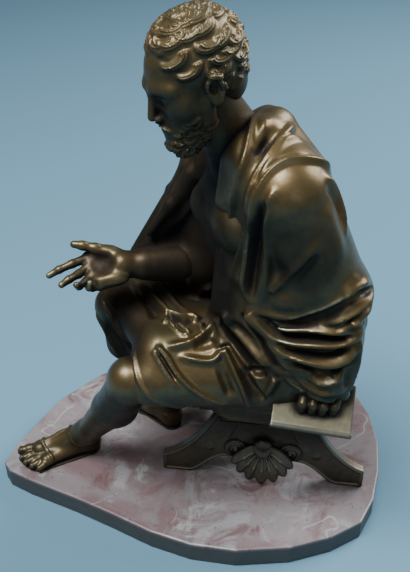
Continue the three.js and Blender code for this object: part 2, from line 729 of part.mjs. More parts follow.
// A foot on its sandal: the frame starts under the heel and runs along the sole, and the inner side is at
// +1 or -1
const soleThickness = 3;
const footScale = 0.86;
const plate = (on, a, b, ra, rb, low, high) => {
  const limbFlat = limb(V(a[0], a[1], 0), V(b[0], b[1], 0), ra, rb);
  const box = new THREE.Box3();
  for (const [[x, y], r] of [[a, ra], [b, rb]])
    for (const s of [-r, r])
      for (const t of [-r, r])
        for (const z of [low, high]) box.expandByPoint(on.point(x + s, y + t, z));
  const back = on.turn.clone().invert();
  const origin = on.point(0, 0, 0);
  const q = V(0, 0, 0);
  return form(box, (x, y, z) => {
    q.set(x, y, z).sub(origin).applyQuaternion(back).divideScalar(on.scale);
    const d = limbFlat.distance(q.x, q.y, 0);
    return on.scale * Math.max(d, q.z - high, low - q.z);
  });
};
const foot = (heel, way, inner, ankle) => {
  const k = footScale;
  const on = frameOf(heel.clone().setZ(slabTop), way, V(0, 0, 1), k);
  const at = (a, b, c) => on.point(a, b * inner, c + soleThickness);
  const toes = [
    [[53, 8], 13.5, 4, 4.0],
    [[54, 1.6], 12, -2, 3.0],
    [[53, -3.4], 10.5, -8, 2.9],
    [[50.5, -8], 9, -14, 2.7],
    [[47, -12], 7.5, -20, 2.6],
  ];
  skin
    .put(2, egg(at(8, 0, 9), V(9 * k, 8 * k, 10 * k), on.turn))
    .put(5, limb(ankle, at(9, 0, 9), 8, 8 * k))
    .put(6, limb(ankle, at(31, 3, 13), 8, 7.6 * k), limb(at(31, 3, 13), at(50, 4, 6), 7.6 * k, 6.4 * k))
    .put(5, limb(at(8, -1, 6), at(47, -8.5, 4.6), 6.5 * k, 5 * k))
    .put(5, limb(at(8, 1, 8), at(49, 7.5, 5.2), 6.5 * k, 5.6 * k))
    .put(3, egg(mix(ankle, at(10, 9, 24), 0.7), V(3.4, 2.8, 4), on.turn))
    .put(3, egg(mix(ankle, at(10, -9, 21), 0.7), V(3.2, 2.8, 3.8), on.turn));
  for (const [[a, b], length, turn, r] of toes) {
    const way = (turn * Math.PI) / 180;
    const along = (s) => [a + length * s * Math.cos(way), b + length * s * Math.sin(way)];
    skin.put(1.4, ...chain([
      [at(...along(-0.5), r + 1.6), k * r * 1.05],
      [at(...along(0.45), r + 1.3), k * r],
      [at(...along(1), r), k * r * 0.98],
    ]));
  }
  skin.put(0.4, plate(on, [8, 0], [51, -1 * inner], 9.2, 13.6, -2, soleThickness));
  skin.put(0.4, plate(on, [40, 1 * inner], [58, 4 * inner], 12, 11, -2, soleThickness));
};
const bareLeg = (hip, knee, ankle, back) => {
  const along = (t, out) => mix(knee, ankle, t).addScaledVector(back, out);
  skin
    .put(3, limb(mix(hip, knee, 0.7), knee, 17, 13.5))
    .put(6, limb(knee, along(0.5, 1), 13.5, 10.5), limb(along(0.5, 1), ankle, 10.5, 7.6))
    .put(8, limb(along(0.3, 8), along(0.5, 9), 11.5, 11), limb(along(0.5, 9), along(0.86, 3), 11, 5.5))
    .put(4, egg(knee.clone().add(V(-3, -1, 1)), V(10, 10.5, 12)))
    .put(3, limb(along(0.14, -7), along(0.75, -3), 4.5, 3.6));
};
const leftWay = V(-0.9, -0.436, 0);
const rightWay = V(-0.777, 0.63, 0);
bareLeg(joint.leftHip, joint.leftKnee, joint.leftAnkle, leftWay.clone().negate());
bareLeg(joint.rightHip, joint.rightKnee, joint.rightAnkle, rightWay.clone().negate());
foot(V(-71, -14, 0), leftWay, -1, joint.leftAnkle);
foot(V(-16, 12, 0), rightWay, 1, joint.rightAnkle);

// The head, drawn upright in its own frame for a head 60 high: forward, left, up from the middle of the skull
const turnRad = (head.turn * Math.PI) / 180;
const bowRad = (head.bow * Math.PI) / 180;
const faceWay = V(
  -Math.cos(turnRad) * Math.cos(bowRad),
  -Math.sin(turnRad) * Math.cos(bowRad),
  -Math.sin(bowRad),
);
const headFrame = frameOf(head.centre, faceWay, V(0, 0, 1), head.size);
const onHead = (a, b, c) => headFrame.point(a, b, c);
const sized = (a, b, c) => V(a, b, c).multiplyScalar(head.size);
const headClay = new Clay();
const bothSides = (make) => [make(1), make(-1)];

// The cap that the hair lies on, cut back at the brow and the temples, and the mass of the beard
headClay
  .put(0, egg(onHead(-4.5, 0, 6.5), sized(26, 21.5, 23.2), headFrame.turn))
  .put(3, egg(onHead(-13, 0, -9), sized(14, 15, 17), headFrame.turn))
  .cut(3, egg(onHead(20, 0, 1), sized(15, 22, 17), headFrame.turn))
  .cut(2, ...bothSides((s) => egg(onHead(14, s * 21, -9), sized(13, 9, 12), headFrame.turn)))
  .put(6, egg(onHead(10, 0, -22), sized(15, 15, 13), headFrame.turn))
  .put(4, egg(onHead(17.5, 0, -30), sized(9.5, 10.5, 9.5), headFrame.turn))
  .put(3, ...bothSides((s) => limb(onHead(1.5, s * 18, -5), onHead(6, s * 13.5, -20), 2.6, 5)));

// The skull and the face
headClay
  .put(0.8, egg(onHead(-3, 0, 5), sized(26, 20.5, 22.5), headFrame.turn))
  .put(6, egg(onHead(9, 0, -8), sized(15, 16.5, 22), headFrame.turn))
  .put(6, egg(onHead(10, 0, -21), sized(12.5, 12, 10), headFrame.turn))
  .put(4, ...bothSides((s) => limb(onHead(22, s * 4, 3.5), onHead(17, s * 13, 2.5), 3.4, 3)))
  .put(7, ...bothSides((s) => egg(onHead(14.5, s * 11.5, -8.5), sized(6, 6, 6.5), headFrame.turn)))
  .cut(3, ...bothSides((s) => egg(onHead(26.5, s * 8, -2.5), sized(6, 5.2, 3.6), headFrame.turn)))
  .put(1.2, ...bothSides((s) => egg(onHead(17.6, s * 8, -3), sized(4.6, 4.8, 4.4), headFrame.turn)))
  .put(1.4, ...bothSides((s) => limb(onHead(21.6, s * 4.6, -1.6), onHead(19.6, s * 11.8, -1.8), 1.2, 1.1)))
  .put(3, limb(onHead(23.5, 0, 0.5), onHead(28.5, 0, -11), 1.9, 2.4))
  .put(2, ...bothSides((s) => egg(onHead(25.4, s * 2.8, -12.6), sized(2.6, 1.7, 1.7), headFrame.turn)))
  .put(3, limb(onHead(22, 0, -17.5), onHead(21.4, 0, -24), 4, 4))
  .put(1, limb(onHead(25, -3.8, -18.8), onHead(25, 3.8, -18.8), 1.3))
  .put(1, limb(onHead(24.6, -3, -22), onHead(24.6, 3, -22), 1.5))
  .cut(0.8, limb(onHead(27, -4.8, -20.3), onHead(27, 4.8, -20.3), 0.9));

// Ears, with a rim and a hollow
for (const s of [1, -1]) {
  const rim = new THREE.CatmullRomCurve3([
    onHead(2.4, s * 20.6, -3),
    onHead(0.6, s * 21.6, 1.4),
    onHead(-3.4, s * 22.2, 1.2),
    onHead(-5.4, s * 22, -3.6),
    onHead(-3.8, s * 21.2, -8.4),
    onHead(-0.6, s * 20.4, -12),
  ]);
  headClay
    .put(1.5, egg(onHead(-1, s * 20, -5), sized(4, 2, 6.6), headFrame.turn))
    .put(0.8, ...chain(rim.getPoints(8).map((p) => [p, 1.3])))
    .put(1, egg(onHead(-0.6, s * 20.4, -10.6), sized(2.8, 1.8, 2.9), headFrame.turn))
    .cut(0.8, egg(onHead(-0.6, s * 22, -3.6), sized(2.4, 1.5, 3.4), headFrame.turn));
}
const bareHead = new Clay();
bareHead.strokes = [...headClay.strokes];

// Locks of hair and beard: short curved rolls, in rows that run down from the crown. A row gives how high it
// lies on the round of the head, and from where to where it runs, in degrees from the middle of the face.
const random = (() => {
  let seed = 11;
  return () => {
    seed = (seed * 16807) % 2147483647;
    return seed / 2147483647;
  };
})();
const lock = (middle, radii, round, high, length, curl, width, height) => {
  const way = (round * Math.PI) / 180;
  const up = (high * Math.PI) / 180;
  const steps = 4;
  const points = Array.from({ length: steps + 1 }, (_, i) => {
    const t = i / steps;
    const swing = curl * (t * 3 - 0.7);
    const w = way + ((length / radii[1]) * t * Math.sin(swing)) / Math.max(Math.cos(up), 0.35);
    const u = up - (length / radii[2]) * t * Math.cos(swing * 0.8);
    const at = [Math.cos(u) * Math.cos(w), Math.cos(u) * Math.sin(w), Math.sin(u)];
    return onHead(...at.map((a, axis) => middle[axis] + radii[axis] * a));
  });
  return foldOn(bareHead, points, width, height, { sharp: 0.15, ends: [0.1, 0.3], taper: 0.5 });
};
const locksIn = (rows, middle, radii) =>
  rows.flatMap(({ high, count, from, to, length, width, height }) =>
    Array.from({ length: count }, (_, i) => {
      const round = from + ((to - from) * (i + 0.5)) / count + 6 * (random() - 0.5);
      const curl = (random() > 0.5 ? 1 : -1) * (0.7 + 0.5 * random());
      return lock(middle, radii, round, high + 6 * (random() - 0.5), length, curl, width, height);
    }),
  );
const hairRows = [
  { high: 88, count: 5, from: -180, to: 180, length: 12, width: 4.2, height: 2.4 },
  { high: 70, count: 10, from: -180, to: 180, length: 13, width: 4.2, height: 2.6 },
  { high: 52, count: 15, from: -180, to: 180, length: 13, width: 4.1, height: 2.7 },
  { high: 34, count: 12, from: 58, to: 302, length: 13, width: 4, height: 2.7 },
  { high: 36, count: 5, from: -50, to: 50, length: 9, width: 3.6, height: 1.8 },
  { high: 16, count: 13, from: 66, to: 294, length: 12, width: 3.9, height: 2.7 },
  { high: -2, count: 11, from: 76, to: 284, length: 11, width: 3.8, height: 2.6 },
  { high: -20, count: 9, from: 100, to: 260, length: 10, width: 3.6, height: 2.4 },
  { high: -38, count: 6, from: 118, to: 242, length: 9, width: 3.4, height: 2.0 },
];
const beardRows = [
  { high: 38, count: 2, from: 84, to: 104, length: 6, width: 2.3, height: 1.3 },
  { high: 38, count: 2, from: -104, to: -84, length: 6, width: 2.3, height: 1.3 },
  { high: 22, count: 4, from: 66, to: 108, length: 6, width: 2.4, height: 1.4 },
  { high: 22, count: 4, from: -108, to: -66, length: 6, width: 2.4, height: 1.4 },
  { high: 6, count: 6, from: 44, to: 108, length: 6, width: 2.5, height: 1.6 },
  { high: 6, count: 6, from: -108, to: -44, length: 6, width: 2.5, height: 1.6 },
  { high: -10, count: 7, from: 30, to: 108, length: 6, width: 2.5, height: 1.8 },
  { high: -10, count: 7, from: -108, to: -30, length: 6, width: 2.5, height: 1.8 },
  { high: -24, count: 16, from: -108, to: 108, length: 6, width: 2.5, height: 2.0 },
  { high: -40, count: 14, from: -108, to: 108, length: 6, width: 2.6, height: 2.1 },
  { high: -56, count: 11, from: -110, to: 110, length: 6, width: 2.6, height: 2.1 },
  { high: -76, count: 7, from: -140, to: 140, length: 6, width: 2.6, height: 2.0 },
];
const moustache = bothSides((s) =>
  foldOn(bareHead, [onHead(27, s * 0.6, -16), onHead(26, s * 4.5, -17.5), onHead(22, s * 9, -22)], 2, 1.7,
    { sharp: 0.3, ends: [0.1, 0.3], taper: 0.3 }));
headClay.raise(maneOf([
  ...locksIn(hairRows, [-4.5, 0, 6.5], [26, 21.5, 23.2]),
  ...locksIn(beardRows, [11, 0, -23], [16, 15, 16]),
  ...moustache,
]));

// The cloak: first its bulk
const cloak = new Clay();
cloak
  .put(0, limb(joint.pelvis, joint.waist, 40, 36), limb(joint.waist, V(52, -11.4, 222), 36, 33))
  .put(16, egg(V(64, -2, 110), V(42, 48, 34)))
  .put(8, limb(V(54, -44, 254), V(14, 16, 248), 22, 19))
  .put(8, limb(V(47, -34, 277), V(58, -46, 264), 11, 14))
  .put(8, limb(V(50, -22, 276), V(67, -32, 256), 11, 13))
  .put(8, limb(joint.leftShoulder, joint.leftElbow, 24, 19.5))
  .put(10, limb(joint.leftElbow, joint.leftWrist, 18, 13))
  .put(10, egg(V(72, -42, 160), V(36, 33, 32)))
  .put(8, limb(joint.leftHip, joint.leftKnee.clone().add(V(14, 3, 1)), 29, 18.5))
  .put(8, limb(joint.rightHip, joint.rightKnee, 29, 15))
  .put(6, limb(V(-53, 0, 137), V(-48, 1, 103), 15, 16.5))
  .put(6, web(V(-52, 0, 130), V(-47, 2, 106), V(10, 22, 112), 7))
  .put(6, web(V(-50, -4, 134), V(-42, -6, 104), V(-10, -34, 116), 10))
  .cut(1.5, egg(V(-46, 2, 76), V(40, 36, 22)))
  .put(8, web(V(53, 4, 140), V(-46, -2, 142), V(-14, -48, 138), 13))
  .put(8, web(V(53, 4, 140), V(60, -34, 140), V(-14, -48, 138), 16))
  .put(10, limb(V(58, -46, 126), V(81, -44, 128), 24, 18))
  .put(8, limb(V(30, -28, 160), V(62, -34, 168), 17, 30))
  .put(8, web(V(38, -55, 205), V(76, -62, 206), V(60, -60, 180), 8))
  .put(3, web(onSheet(-7, 25, 9.5), onSheet(15, 25, 8.5), V(88, -58, 148), 5));

// Cloth spread over the seat and its edges
cloak
  .put(12, ...chain([
    [V(24, -38, 97), 12],
    [V(90, -40, 96), 12],
    [V(95, 0, 98), 10],
    [V(89, 42, 97), 10],
    [V(22, 42, 98), 11],
  ]))
  .put(6, limb(V(30, -43, 92), V(90, -44, 91), 7.5));

// The broad edge of the cloak that falls from the left shoulder across the chest
cloak
  .put(5, web(V(38, -52, 268), V(27, -43, 268), V(23, -42, 174), 6.5))
  .put(5, web(V(38, -52, 268), V(50, -60, 256), V(46, -57, 174), 7))
  .put(5, web(V(38, -52, 268), V(23, -42, 174), V(46, -57, 174), 6.5))
  .put(6, web(V(33, -44, 278), V(25, -46, 246), V(40, -60, 262), 6));

// The cape over the right arm
cloak
  .put(8, limb(joint.rightShoulder, joint.rightElbow, 16, 15))
  .put(6, limb(joint.rightElbow, V(-18, -4, 178), 15, 13))
  .put(6, web(V(2, 12, 246), V(-36, 2, 178), V(14, 14, 168), 6))
  .put(6, web(V(2, 12, 246), V(12, -4, 250), V(-36, 2, 178), 4))
  .put(6, web(V(20, 20, 240), V(14, 14, 168), V(50, 26, 190), 10));

// The collar roll round the back of the neck, and the open chest under it
cloak
  .put(6, ...chain([
    [V(33, -47, 273), 7.5],
    [V(42, -37, 281), 8],
    [V(47, -22, 280), 8.5],
    [V(43, -2, 274), 8],
    [V(26, 10, 265), 7.5],
    [V(12, 4, 256), 6],
    [V(-1, -3, 240), 5],
    [V(-14, -5, 219), 4.5],
    [V(-27, -8, 200), 4],
  ]));

// Folds, raised on the bulk of the cloak along settled paths: (half width, height, points on the path)
const bulk = new Clay();
bulk.strokes = [...cloak.strokes];
const fold = (halfWidth, height, points, how) =>
  cloak.raise(foldOn(bulk, points.map((p) => V(...p)), halfWidth, height, how));
const undercut = (halfWidth, depth, points) =>
  cloak.cut(1.6, rollOn(bulk, points.map((p) => V(...p)), halfWidth, depth));
const spread = (halfWidth, height, count, first, last, how) => {
  const paths = between(first.map((p) => V(...p)), last.map((p) => V(...p)), count);
  for (const path of paths) cloak.raise(foldOn(bulk, path, halfWidth, height, how));
};

// The collar round the nape, and the broad edge that falls from it to the lap
fold(3, 1.6, [[41, -12, 287], [36, -43, 288], [34, -58, 275], [28, -56, 245], [23, -51, 216],
  [22, -48, 192]], { ends: [0.1, 0.1] });
fold(6, -2.2, [[48, -36, 290], [43, -49, 281], [38, -62, 272], [33, -62, 256], [29, -57, 235]],
  { sharp: 0.1 });
fold(4, 1.4, [[43, -36, 291], [43, -47, 285], [39, -56, 279]], { sharp: 0.4 });
fold(4.2, 3, [[56, -26, 284], [55, -39, 284], [47, -56, 279], [41, -64, 271], [37, -68, 255],
  [34, -61, 230], [27, -52, 184]], { sharp: 0.8, ends: [0.15, 0.1] });
fold(3.6, 2.2, [[66, -38, 278], [58, -42, 282], [52, -52, 281], [45, -64, 275], [41, -68, 268]],
  { sharp: 0.8 });
fold(2.6, -1.8, [[58, -34, 283], [53, -48, 282], [46, -61, 277], [39, -67, 266], [35, -64, 248],
  [28, -54, 195]]);
fold(4.2, 3, [[80, -46, 266], [75, -52, 273], [66, -59, 278], [56, -63, 279], [46, -68, 273],
  [41, -72, 260], [38, -62, 223], [35, -61, 195]], { sharp: 0.8, ends: [0.15, 0.1] });
fold(2.6, -2, [[70, -54, 277], [60, -58, 280], [51, -63, 279], [44, -68, 272], [39, -70, 262],
  [37, -63, 236], [34, -60, 205]]);
fold(3.6, 2.6, [[45, -74, 260], [42, -73, 252], [39, -62, 235], [38, -62, 218], [37, -62, 188]],
  { sharp: 0.7, ends: [0.3, 0.1] });
fold(4.6, -5, [[48, -75, 263], [45, -75, 256], [43, -65, 236], [42, -63, 220], [40, -64, 190]],
  { sharp: 0.3, ends: [0.3, 0.1] });
fold(4, 2.2, [[53, -74, 270], [49, -75, 264], [48, -74, 248], [48, -67, 227], [48, -66, 190]],
  { sharp: 0.6, ends: [0.3, 0.1] });

// Over the shoulder, the upper arm and the elbow
fold(4, 2.4, [[74, -62, 272], [78, -58, 267], [83, -53, 256], [87, -57, 244], [90, -61, 233]],
  { sharp: 0.6 });
fold(3.4, -1.6, [[74, -65, 268], [80, -60, 259], [84, -58, 247], [88, -60, 236]], { sharp: 0.4 });
fold(7, 1.6, [[75, -69, 261], [80, -68, 249], [85, -67, 236], [90, -68, 222]], { sharp: 0.2 });
fold(4.6, 2.6, [[78, -73, 244], [70, -75, 231], [61, -68, 214], [50, -66, 199]],
  { sharp: 0.8, ends: [0.35, 0.1] });
fold(5, -1.8, [[76, -74, 233], [70, -75, 224], [62, -69, 208]], { sharp: 0.2 });
fold(8, 2.4, [[50, -67, 195], [62, -68, 196], [72, -70, 199]], { sharp: 0 });
fold(6, 1.5, [[98, -60, 216], [94, -67, 208], [88, -70, 204]], { sharp: 0.1 });

// The lower edge of the sleeve, undercut, and the loops of cloth below it
fold(4, 1.8, [[106, -52, 204], [99, -64, 208], [91, -70, 204], [81, -71, 196], [61, -69, 186],
  [45, -65, 187], [39, -62, 187]], { ends: [0.1, 0.15] });
undercut(4, 5.5, [[107, -50, 199], [97, -65, 202], [89, -69, 197], [79, -70, 189], [60, -68, 180],
  [50, -66, 180]]);
fold(3, 2.4, [[108, -52, 198], [103, -62, 197], [90, -71, 189], [82, -71, 185]], { sharp: 0.7 });
fold(3, 2.2, [[107, -52, 190], [102, -65, 190], [93, -70, 183], [88, -71, 182]], { sharp: 0.7 });
fold(2.4, -2, [[107, -54, 194], [102, -64, 193], [96, -69, 189], [88, -71, 185]], { sharp: 0.6 });
fold(3, 2.4, [[104, -60, 183], [99, -67, 186], [94, -70, 189]], { sharp: 0.6 });
fold(4.5, 3.2, [[46, -64, 180], [58, -69, 179], [80, -71, 181], [99, -67, 179], [105, -56, 180]],
  { sharp: 0.6 });
fold(5, 4.6, [[37, -60, 186], [46, -66, 179], [59, -71, 172], [79, -73, 173], [97, -69, 174],
  [103, -60, 178]], { sharp: 0.7, ends: [0.1, 0.15] });
fold(4, -4.4, [[44, -66, 184], [57, -70, 176], [79, -72, 177], [91, -71, 177], [101, -62, 179]],
  { sharp: 0.3 });
fold(4.4, -4.6, [[48, -67, 172], [61, -72, 168], [82, -75, 167], [92, -72, 169], [101, -62, 173]],
  { sharp: 0.3 });
fold(5, 4.6, [[49, -68, 171], [62, -73, 166], [78, -75, 162], [92, -74, 161], [103, -62, 168]],
  { sharp: 0.7, ends: [0.15, 0.2] });
fold(4.4, -4.6, [[56, -71, 163], [71, -75, 158], [88, -75, 155], [95, -71, 158], [102, -60, 162]],
  { sharp: 0.3 });
fold(3.6, 3, [[72, -74, 151], [84, -75, 146], [90, -74, 148], [97, -70, 152]], { sharp: 0.7 });
fold(3, -2.6, [[76, -74, 154], [84, -75, 151], [92, -74, 152]], { sharp: 0.4 });
fold(5, 2.6, [[103, -62, 174], [103, -64, 160], [103, -63, 148], [100, -65, 130]],
  { sharp: 0.4, ends: [0.2, 0.1] });
fold(4, -2.6, [[97, -69, 158], [98, -69, 147], [98, -69, 138]], { sharp: 0.3 });
fold(5, 2.8, [[104, -40, 176], [106, -34, 158], [106, -32, 138], [104, -28, 98]], { ends: [0.2, 0.1] });

// From the waist over the thigh
fold(4.6, 4.8, [[24, -54, 178], [31, -49, 163], [45, -64, 158], [56, -70, 150]],
  { sharp: 0.7, ends: [0.1, 0.2] });
fold(3.6, -5.4, [[33, -57, 180], [43, -64, 171], [53, -70, 159], [63, -72, 149]],
  { sharp: 0.2, ends: [0.15, 0.2] });
fold(6.5, 3.6, [[38, -62, 185], [46, -66, 178], [59, -72, 164], [70, -74, 150]],
  { sharp: 0.3, ends: [0.1, 0.3] });
fold(3.4, -4, [[23, -50, 172], [26, -45, 162], [38, -56, 150], [51, -66, 143]],
  { sharp: 0.3, ends: [0.15, 0.2] });
fold(4.4, 3.6, [[22, -49, 170], [23, -44, 160], [35, -55, 148], [46, -66, 138]], { ends: [0.15, 0.3] });
fold(6, 3.4, [[21, -48, 170], [22, -46, 157], [23, -51, 153], [25, -55, 150]],
  { sharp: 0.4, ends: [0.2, 0.1] });
fold(4, 3.6, [[-4, -61, 147], [8, -61, 145], [20, -60, 144], [25, -54, 151]],
  { sharp: 0.8, ends: [0.35, 0.05] });
fold(5.5, -2.4, [[4, -54, 150], [15, -52, 150], [19, -49, 153]], { sharp: 0.1 });
fold(4, 4.2, [[24, -53, 152], [31, -61, 142], [39, -66, 128], [43, -67, 108]],
  { sharp: 0.8, ends: [0.05, 0.1] });
fold(4.6, -3.6, [[22, -60, 144], [29, -67, 130], [32, -69, 120]], { sharp: 0.1 });
fold(4.6, -4.6, [[36, -59, 143], [44, -67, 129], [53, -69, 119]], { sharp: 0.2, ends: [0.3, 0.2] });
fold(4.4, -5, [[39, -62, 143], [44, -65, 141], [52, -67, 143]], { sharp: 0.2 });
fold(4.4, 3.8, [[57, -69, 142], [56, -69, 137], [50, -70, 123]]);
fold(3.4, 2.8, [[60, -71, 144], [72, -70, 137], [78, -69, 135]], { sharp: 0.6 });
fold(3, 2.2, [[74, -68, 135], [87, -68, 131], [95, -68, 129]], { ends: [0.2, 0.1] });
fold(3.4, 2.6, [[66, -73, 146], [83, -71, 140], [92, -71, 140]]);

// Over the lap
fold(4.2, 3.4, [[21, -45, 166], [18, -41, 159], [7, -53, 152], [-13, -58, 149]], { ends: [0.15, 0.2] });
fold(4.6, 4.4, [[-24, 4, 157], [-16, -10, 154], [-3, -27, 154], [9, -38, 155]],
  { sharp: 0.7, ends: [0.2, 0.1] });
fold(4, 3.6, [[-34, -7, 155], [-20, -21, 153], [-4, -33, 154], [4, -36, 155]],
  { sharp: 0.6, ends: [0.2, 0.15] });
fold(4, -4.6, [[-17, -29, 153], [-3, -36, 155], [4, -39, 155]], { sharp: 0.2 });
fold(3, 2.8, [[-12, -35, 153], [-6, -44, 154], [6, -53, 153]], { sharp: 0.6 });
fold(2.6, 2.4, [[-7, -37, 154], [0, -45, 154], [6, -50, 154]], { sharp: 0.6 });
fold(2.4, -3, [[-9, -37, 154], [-4, -45, 154], [2, -50, 154]], { sharp: 0.3 });
fold(3.4, 3.4, [[8, -37, 155], [10, -43, 155], [9, -49, 154]]);
fold(4.6, 3.6, [[-6, 10, 158], [0, -4, 157], [6, -14, 160], [18, -30, 164]]);
fold(4, 3, [[-4, -18, 176], [0, -11, 166], [2, -2, 158]]);
fold(4, -3, [[4, -10, 160], [9, -18, 161], [14, -28, 161]], { sharp: 0.3 });

// The cuff of cloth above the left knee, and its hem
fold(3.2, 3, [[-16, -57, 150], [-9, -62, 147], [-2, -68, 139], [12, -71, 127], [37, -65, 108]],
  { sharp: 0.7, ends: [0.1, 0.15] });
fold(2.6, 2, [[-18, -58, 149], [-11, -66, 144], [-4, -71, 134], [2, -72, 128]],
  { sharp: 0.7, ends: [0.15, 0.4] });
fold(2.4, -2.4, [[-16, -58, 149], [-9, -66, 143], [0, -71, 133]], { sharp: 0.4 });
fold(2.6, 1.6, [[-28, -50, 143], [-27, -66, 138], [-19, -75, 127], [-4, -74, 112], [6, -72, 107]],
  { sharp: 0.4, ends: [0.1, 0.1] });

// Round the right knee and shin
fold(3.6, 2.8, [[-64, -6, 152], [-54, -17, 143], [-37, -33, 127]], { sharp: 0.7, ends: [0.3, 0.2] });
fold(4.4, 1.8, [[-60, -9, 152], [-53, -15, 149], [-46, -22, 145]], { sharp: 0.4 });
fold(5, 2.8, [[-66, -8, 142], [-62, -13, 128], [-50, -17, 102]], { sharp: 0.4 });
fold(5, -4.6, [[-42, -2, 156], [-28, -16, 153], [-15, -33, 150]], { sharp: 0.1 });
fold(4, -2.4, [[-60, -14, 136], [-52, -20, 124], [-44, -23, 110]], { sharp: 0.2 });
fold(4, 2.4, [[-54, -16, 126], [-46, -23, 114], [-38, -25, 102]]);

// Over the cape on the right arm
fold(5, 2.6, [[14, 2, 262], [6, 0, 240], [-6, -2, 214], [-24, -4, 190]], { sharp: 0.6 });
fold(5, 2.6, [[4, 12, 256], [-4, 10, 234], [-18, 8, 206], [-34, 6, 184]], { sharp: 0.6 });

// Plainer folds down the back and the right side
spread(7, 3.4, 5, [[80, -34, 262], [96, -28, 225], [104, -22, 180], [108, -16, 130], [106, -12, 96]],
  [[30, 30, 254], [40, 40, 225], [52, 44, 180], [58, 50, 130], [56, 52, 96]], { ends: [0.3, 0.05] });
spread(6, 3.2, 4, [[20, 34, 246], [18, 30, 210], [14, 28, 176]], [[-4, 28, 244], [-18, 20, 208],
  [-30, 14, 180]]);
spread(6, 3, 4, [[40, 50, 140], [20, 46, 126], [-4, 38, 112]], [[16, 22, 158], [-12, 18, 154],
  [-40, 12, 148]]);

// The sheet under the left hand
const sheet = new Clay();
const sheetHalf = V(sheetHalfLength, sheetWidth / 2, 0.9);
sheet.put(0, block(onSheet(0, sheetWidth / 2, 0), sheetHalf, 0.3, sheetFrame.turn));

const figureClay = new Layers(0.8, skin, cloak, headClay, sheet);

// The figure: the clay turned into a cast, cut level over the seat and over the slab
const figureSkin = simplify(skinOf(figureClay, fieldStep), figureTriangles);
const figureSolid = solidOf(figureSkin)
  .subtract(boxSolid(V(-200, -200, -50), V(200, 200, slabTop + joinGap)))
  .subtract(
    boxSolid(
      V(seat.left - joinGap, stoolNearSide - joinGap, slabTop),
      V(seat.right + joinGap, stoolFarSide + joinGap, seatTop + joinGap),
    ),
  );

// The slab: an irregular outline with straight facets, and a small bevel round its top and bottom
const slabOutline = [
  [-136, -39], [-132, -16], [-115, 32], [-90, 66], [-69, 85], [-30, 93], [20, 95], [70, 91], [104, 84],
  [121, 68], [131, 45], [136, 16], [135, -12], [130, -40], [121, -61], [101, -76], [74, -88], [39, -95],
  [9, -94], [-19, -87], [-49, -75], [-76, -65], [-113, -53], [-130, -46],
];
const slabBevel = 1.2;
const slabShape = new THREE.Shape(slabOutline.map(([x, y]) => new THREE.Vector2(x, y)));
const slabGeometry = new THREE.ExtrudeGeometry(slabShape, {
  depth: slabThickness - 2 * slabBevel,
  bevelThickness: slabBevel,
  bevelSize: slabBevel,
  bevelOffset: -slabBevel,
  bevelSegments: 2,
}).translate(0, 0, slabBevel);

// The stool: two cast side panels with curved legs, scrolls and a palmette, joined by a seat board
const panelSolid = (outer) => {
  const bevel = 0.8;
  const shape = new THREE.Shape();
  const floor = slabTop + joinGap;
  const at = (x, z) => [stoolMiddle + x, z];
  shape.moveTo(...at(-legTop, seat.low + 1));
  shape.bezierCurveTo(...at(-44, 50), ...at(-56, 37), ...at(-footReach, legEndHeight));
  shape.lineTo(...at(-footReach, floor));
  shape.lineTo(...at(-51, floor));
  shape.bezierCurveTo(...at(-41, 20), ...at(-36, archTop), ...at(-22, archTop));
  shape.lineTo(...at(22, archTop));
  shape.bezierCurveTo(...at(36, archTop), ...at(41, 20), ...at(51, floor));
  shape.lineTo(...at(footReach, floor));
  shape.lineTo(...at(footReach, legEndHeight));
  shape.bezierCurveTo(...at(56, 37), ...at(44, 50), ...at(legTop, seat.low + 1));
  shape.closePath();
  const geometry = new THREE.ExtrudeGeometry(shape, {
    depth: panelThickness - 2 * bevel,
    bevelThickness: bevel,
    bevelSize: bevel,
    bevelOffset: -bevel,
    bevelSegments: 1,
    curveSegments: 6,
  });
  const y = outer < 0 ? outer + panelThickness - bevel : outer - bevel;
  return solidOfGeometry(geometry.rotateX(Math.PI / 2).translate(0, y, 0));
};
// A small raised egg, leaning out of the panel and turned in it
const boss = (x, y, z, rx, ry, rz, turn = 0, lean = 0) =>
  solidOfGeometry(
    new THREE.SphereGeometry(1, 9, 6)
      .scale(rx, ry, rz)
      .rotateX(lean)
      .rotateY(turn)
      .translate(x, y, z),
  );
const spiral = (x, y, z, side) => {
  const windings = 18;
  const wire = 1.3;
  const points = Array.from({ length: windings + 1 }, (_, i) => {
    const angle = Math.PI / 2 + (side * i * Math.PI) / 6;
    const r = scroll.radius - 1.4 - i * 0.3;
    return V(x + r * Math.cos(angle), y, z + r * Math.sin(angle));
  });
  const profile = new THREE.Shape().absarc(0, 0, wire, 0, 2 * Math.PI);
  return solidOfGeometry(
    new THREE.ExtrudeGeometry(profile, {
      steps: 22,
      curveSegments: 3,
      bevelEnabled: false,
      extrudePath: new THREE.CatmullRomCurve3(points),
    }),
  );
};

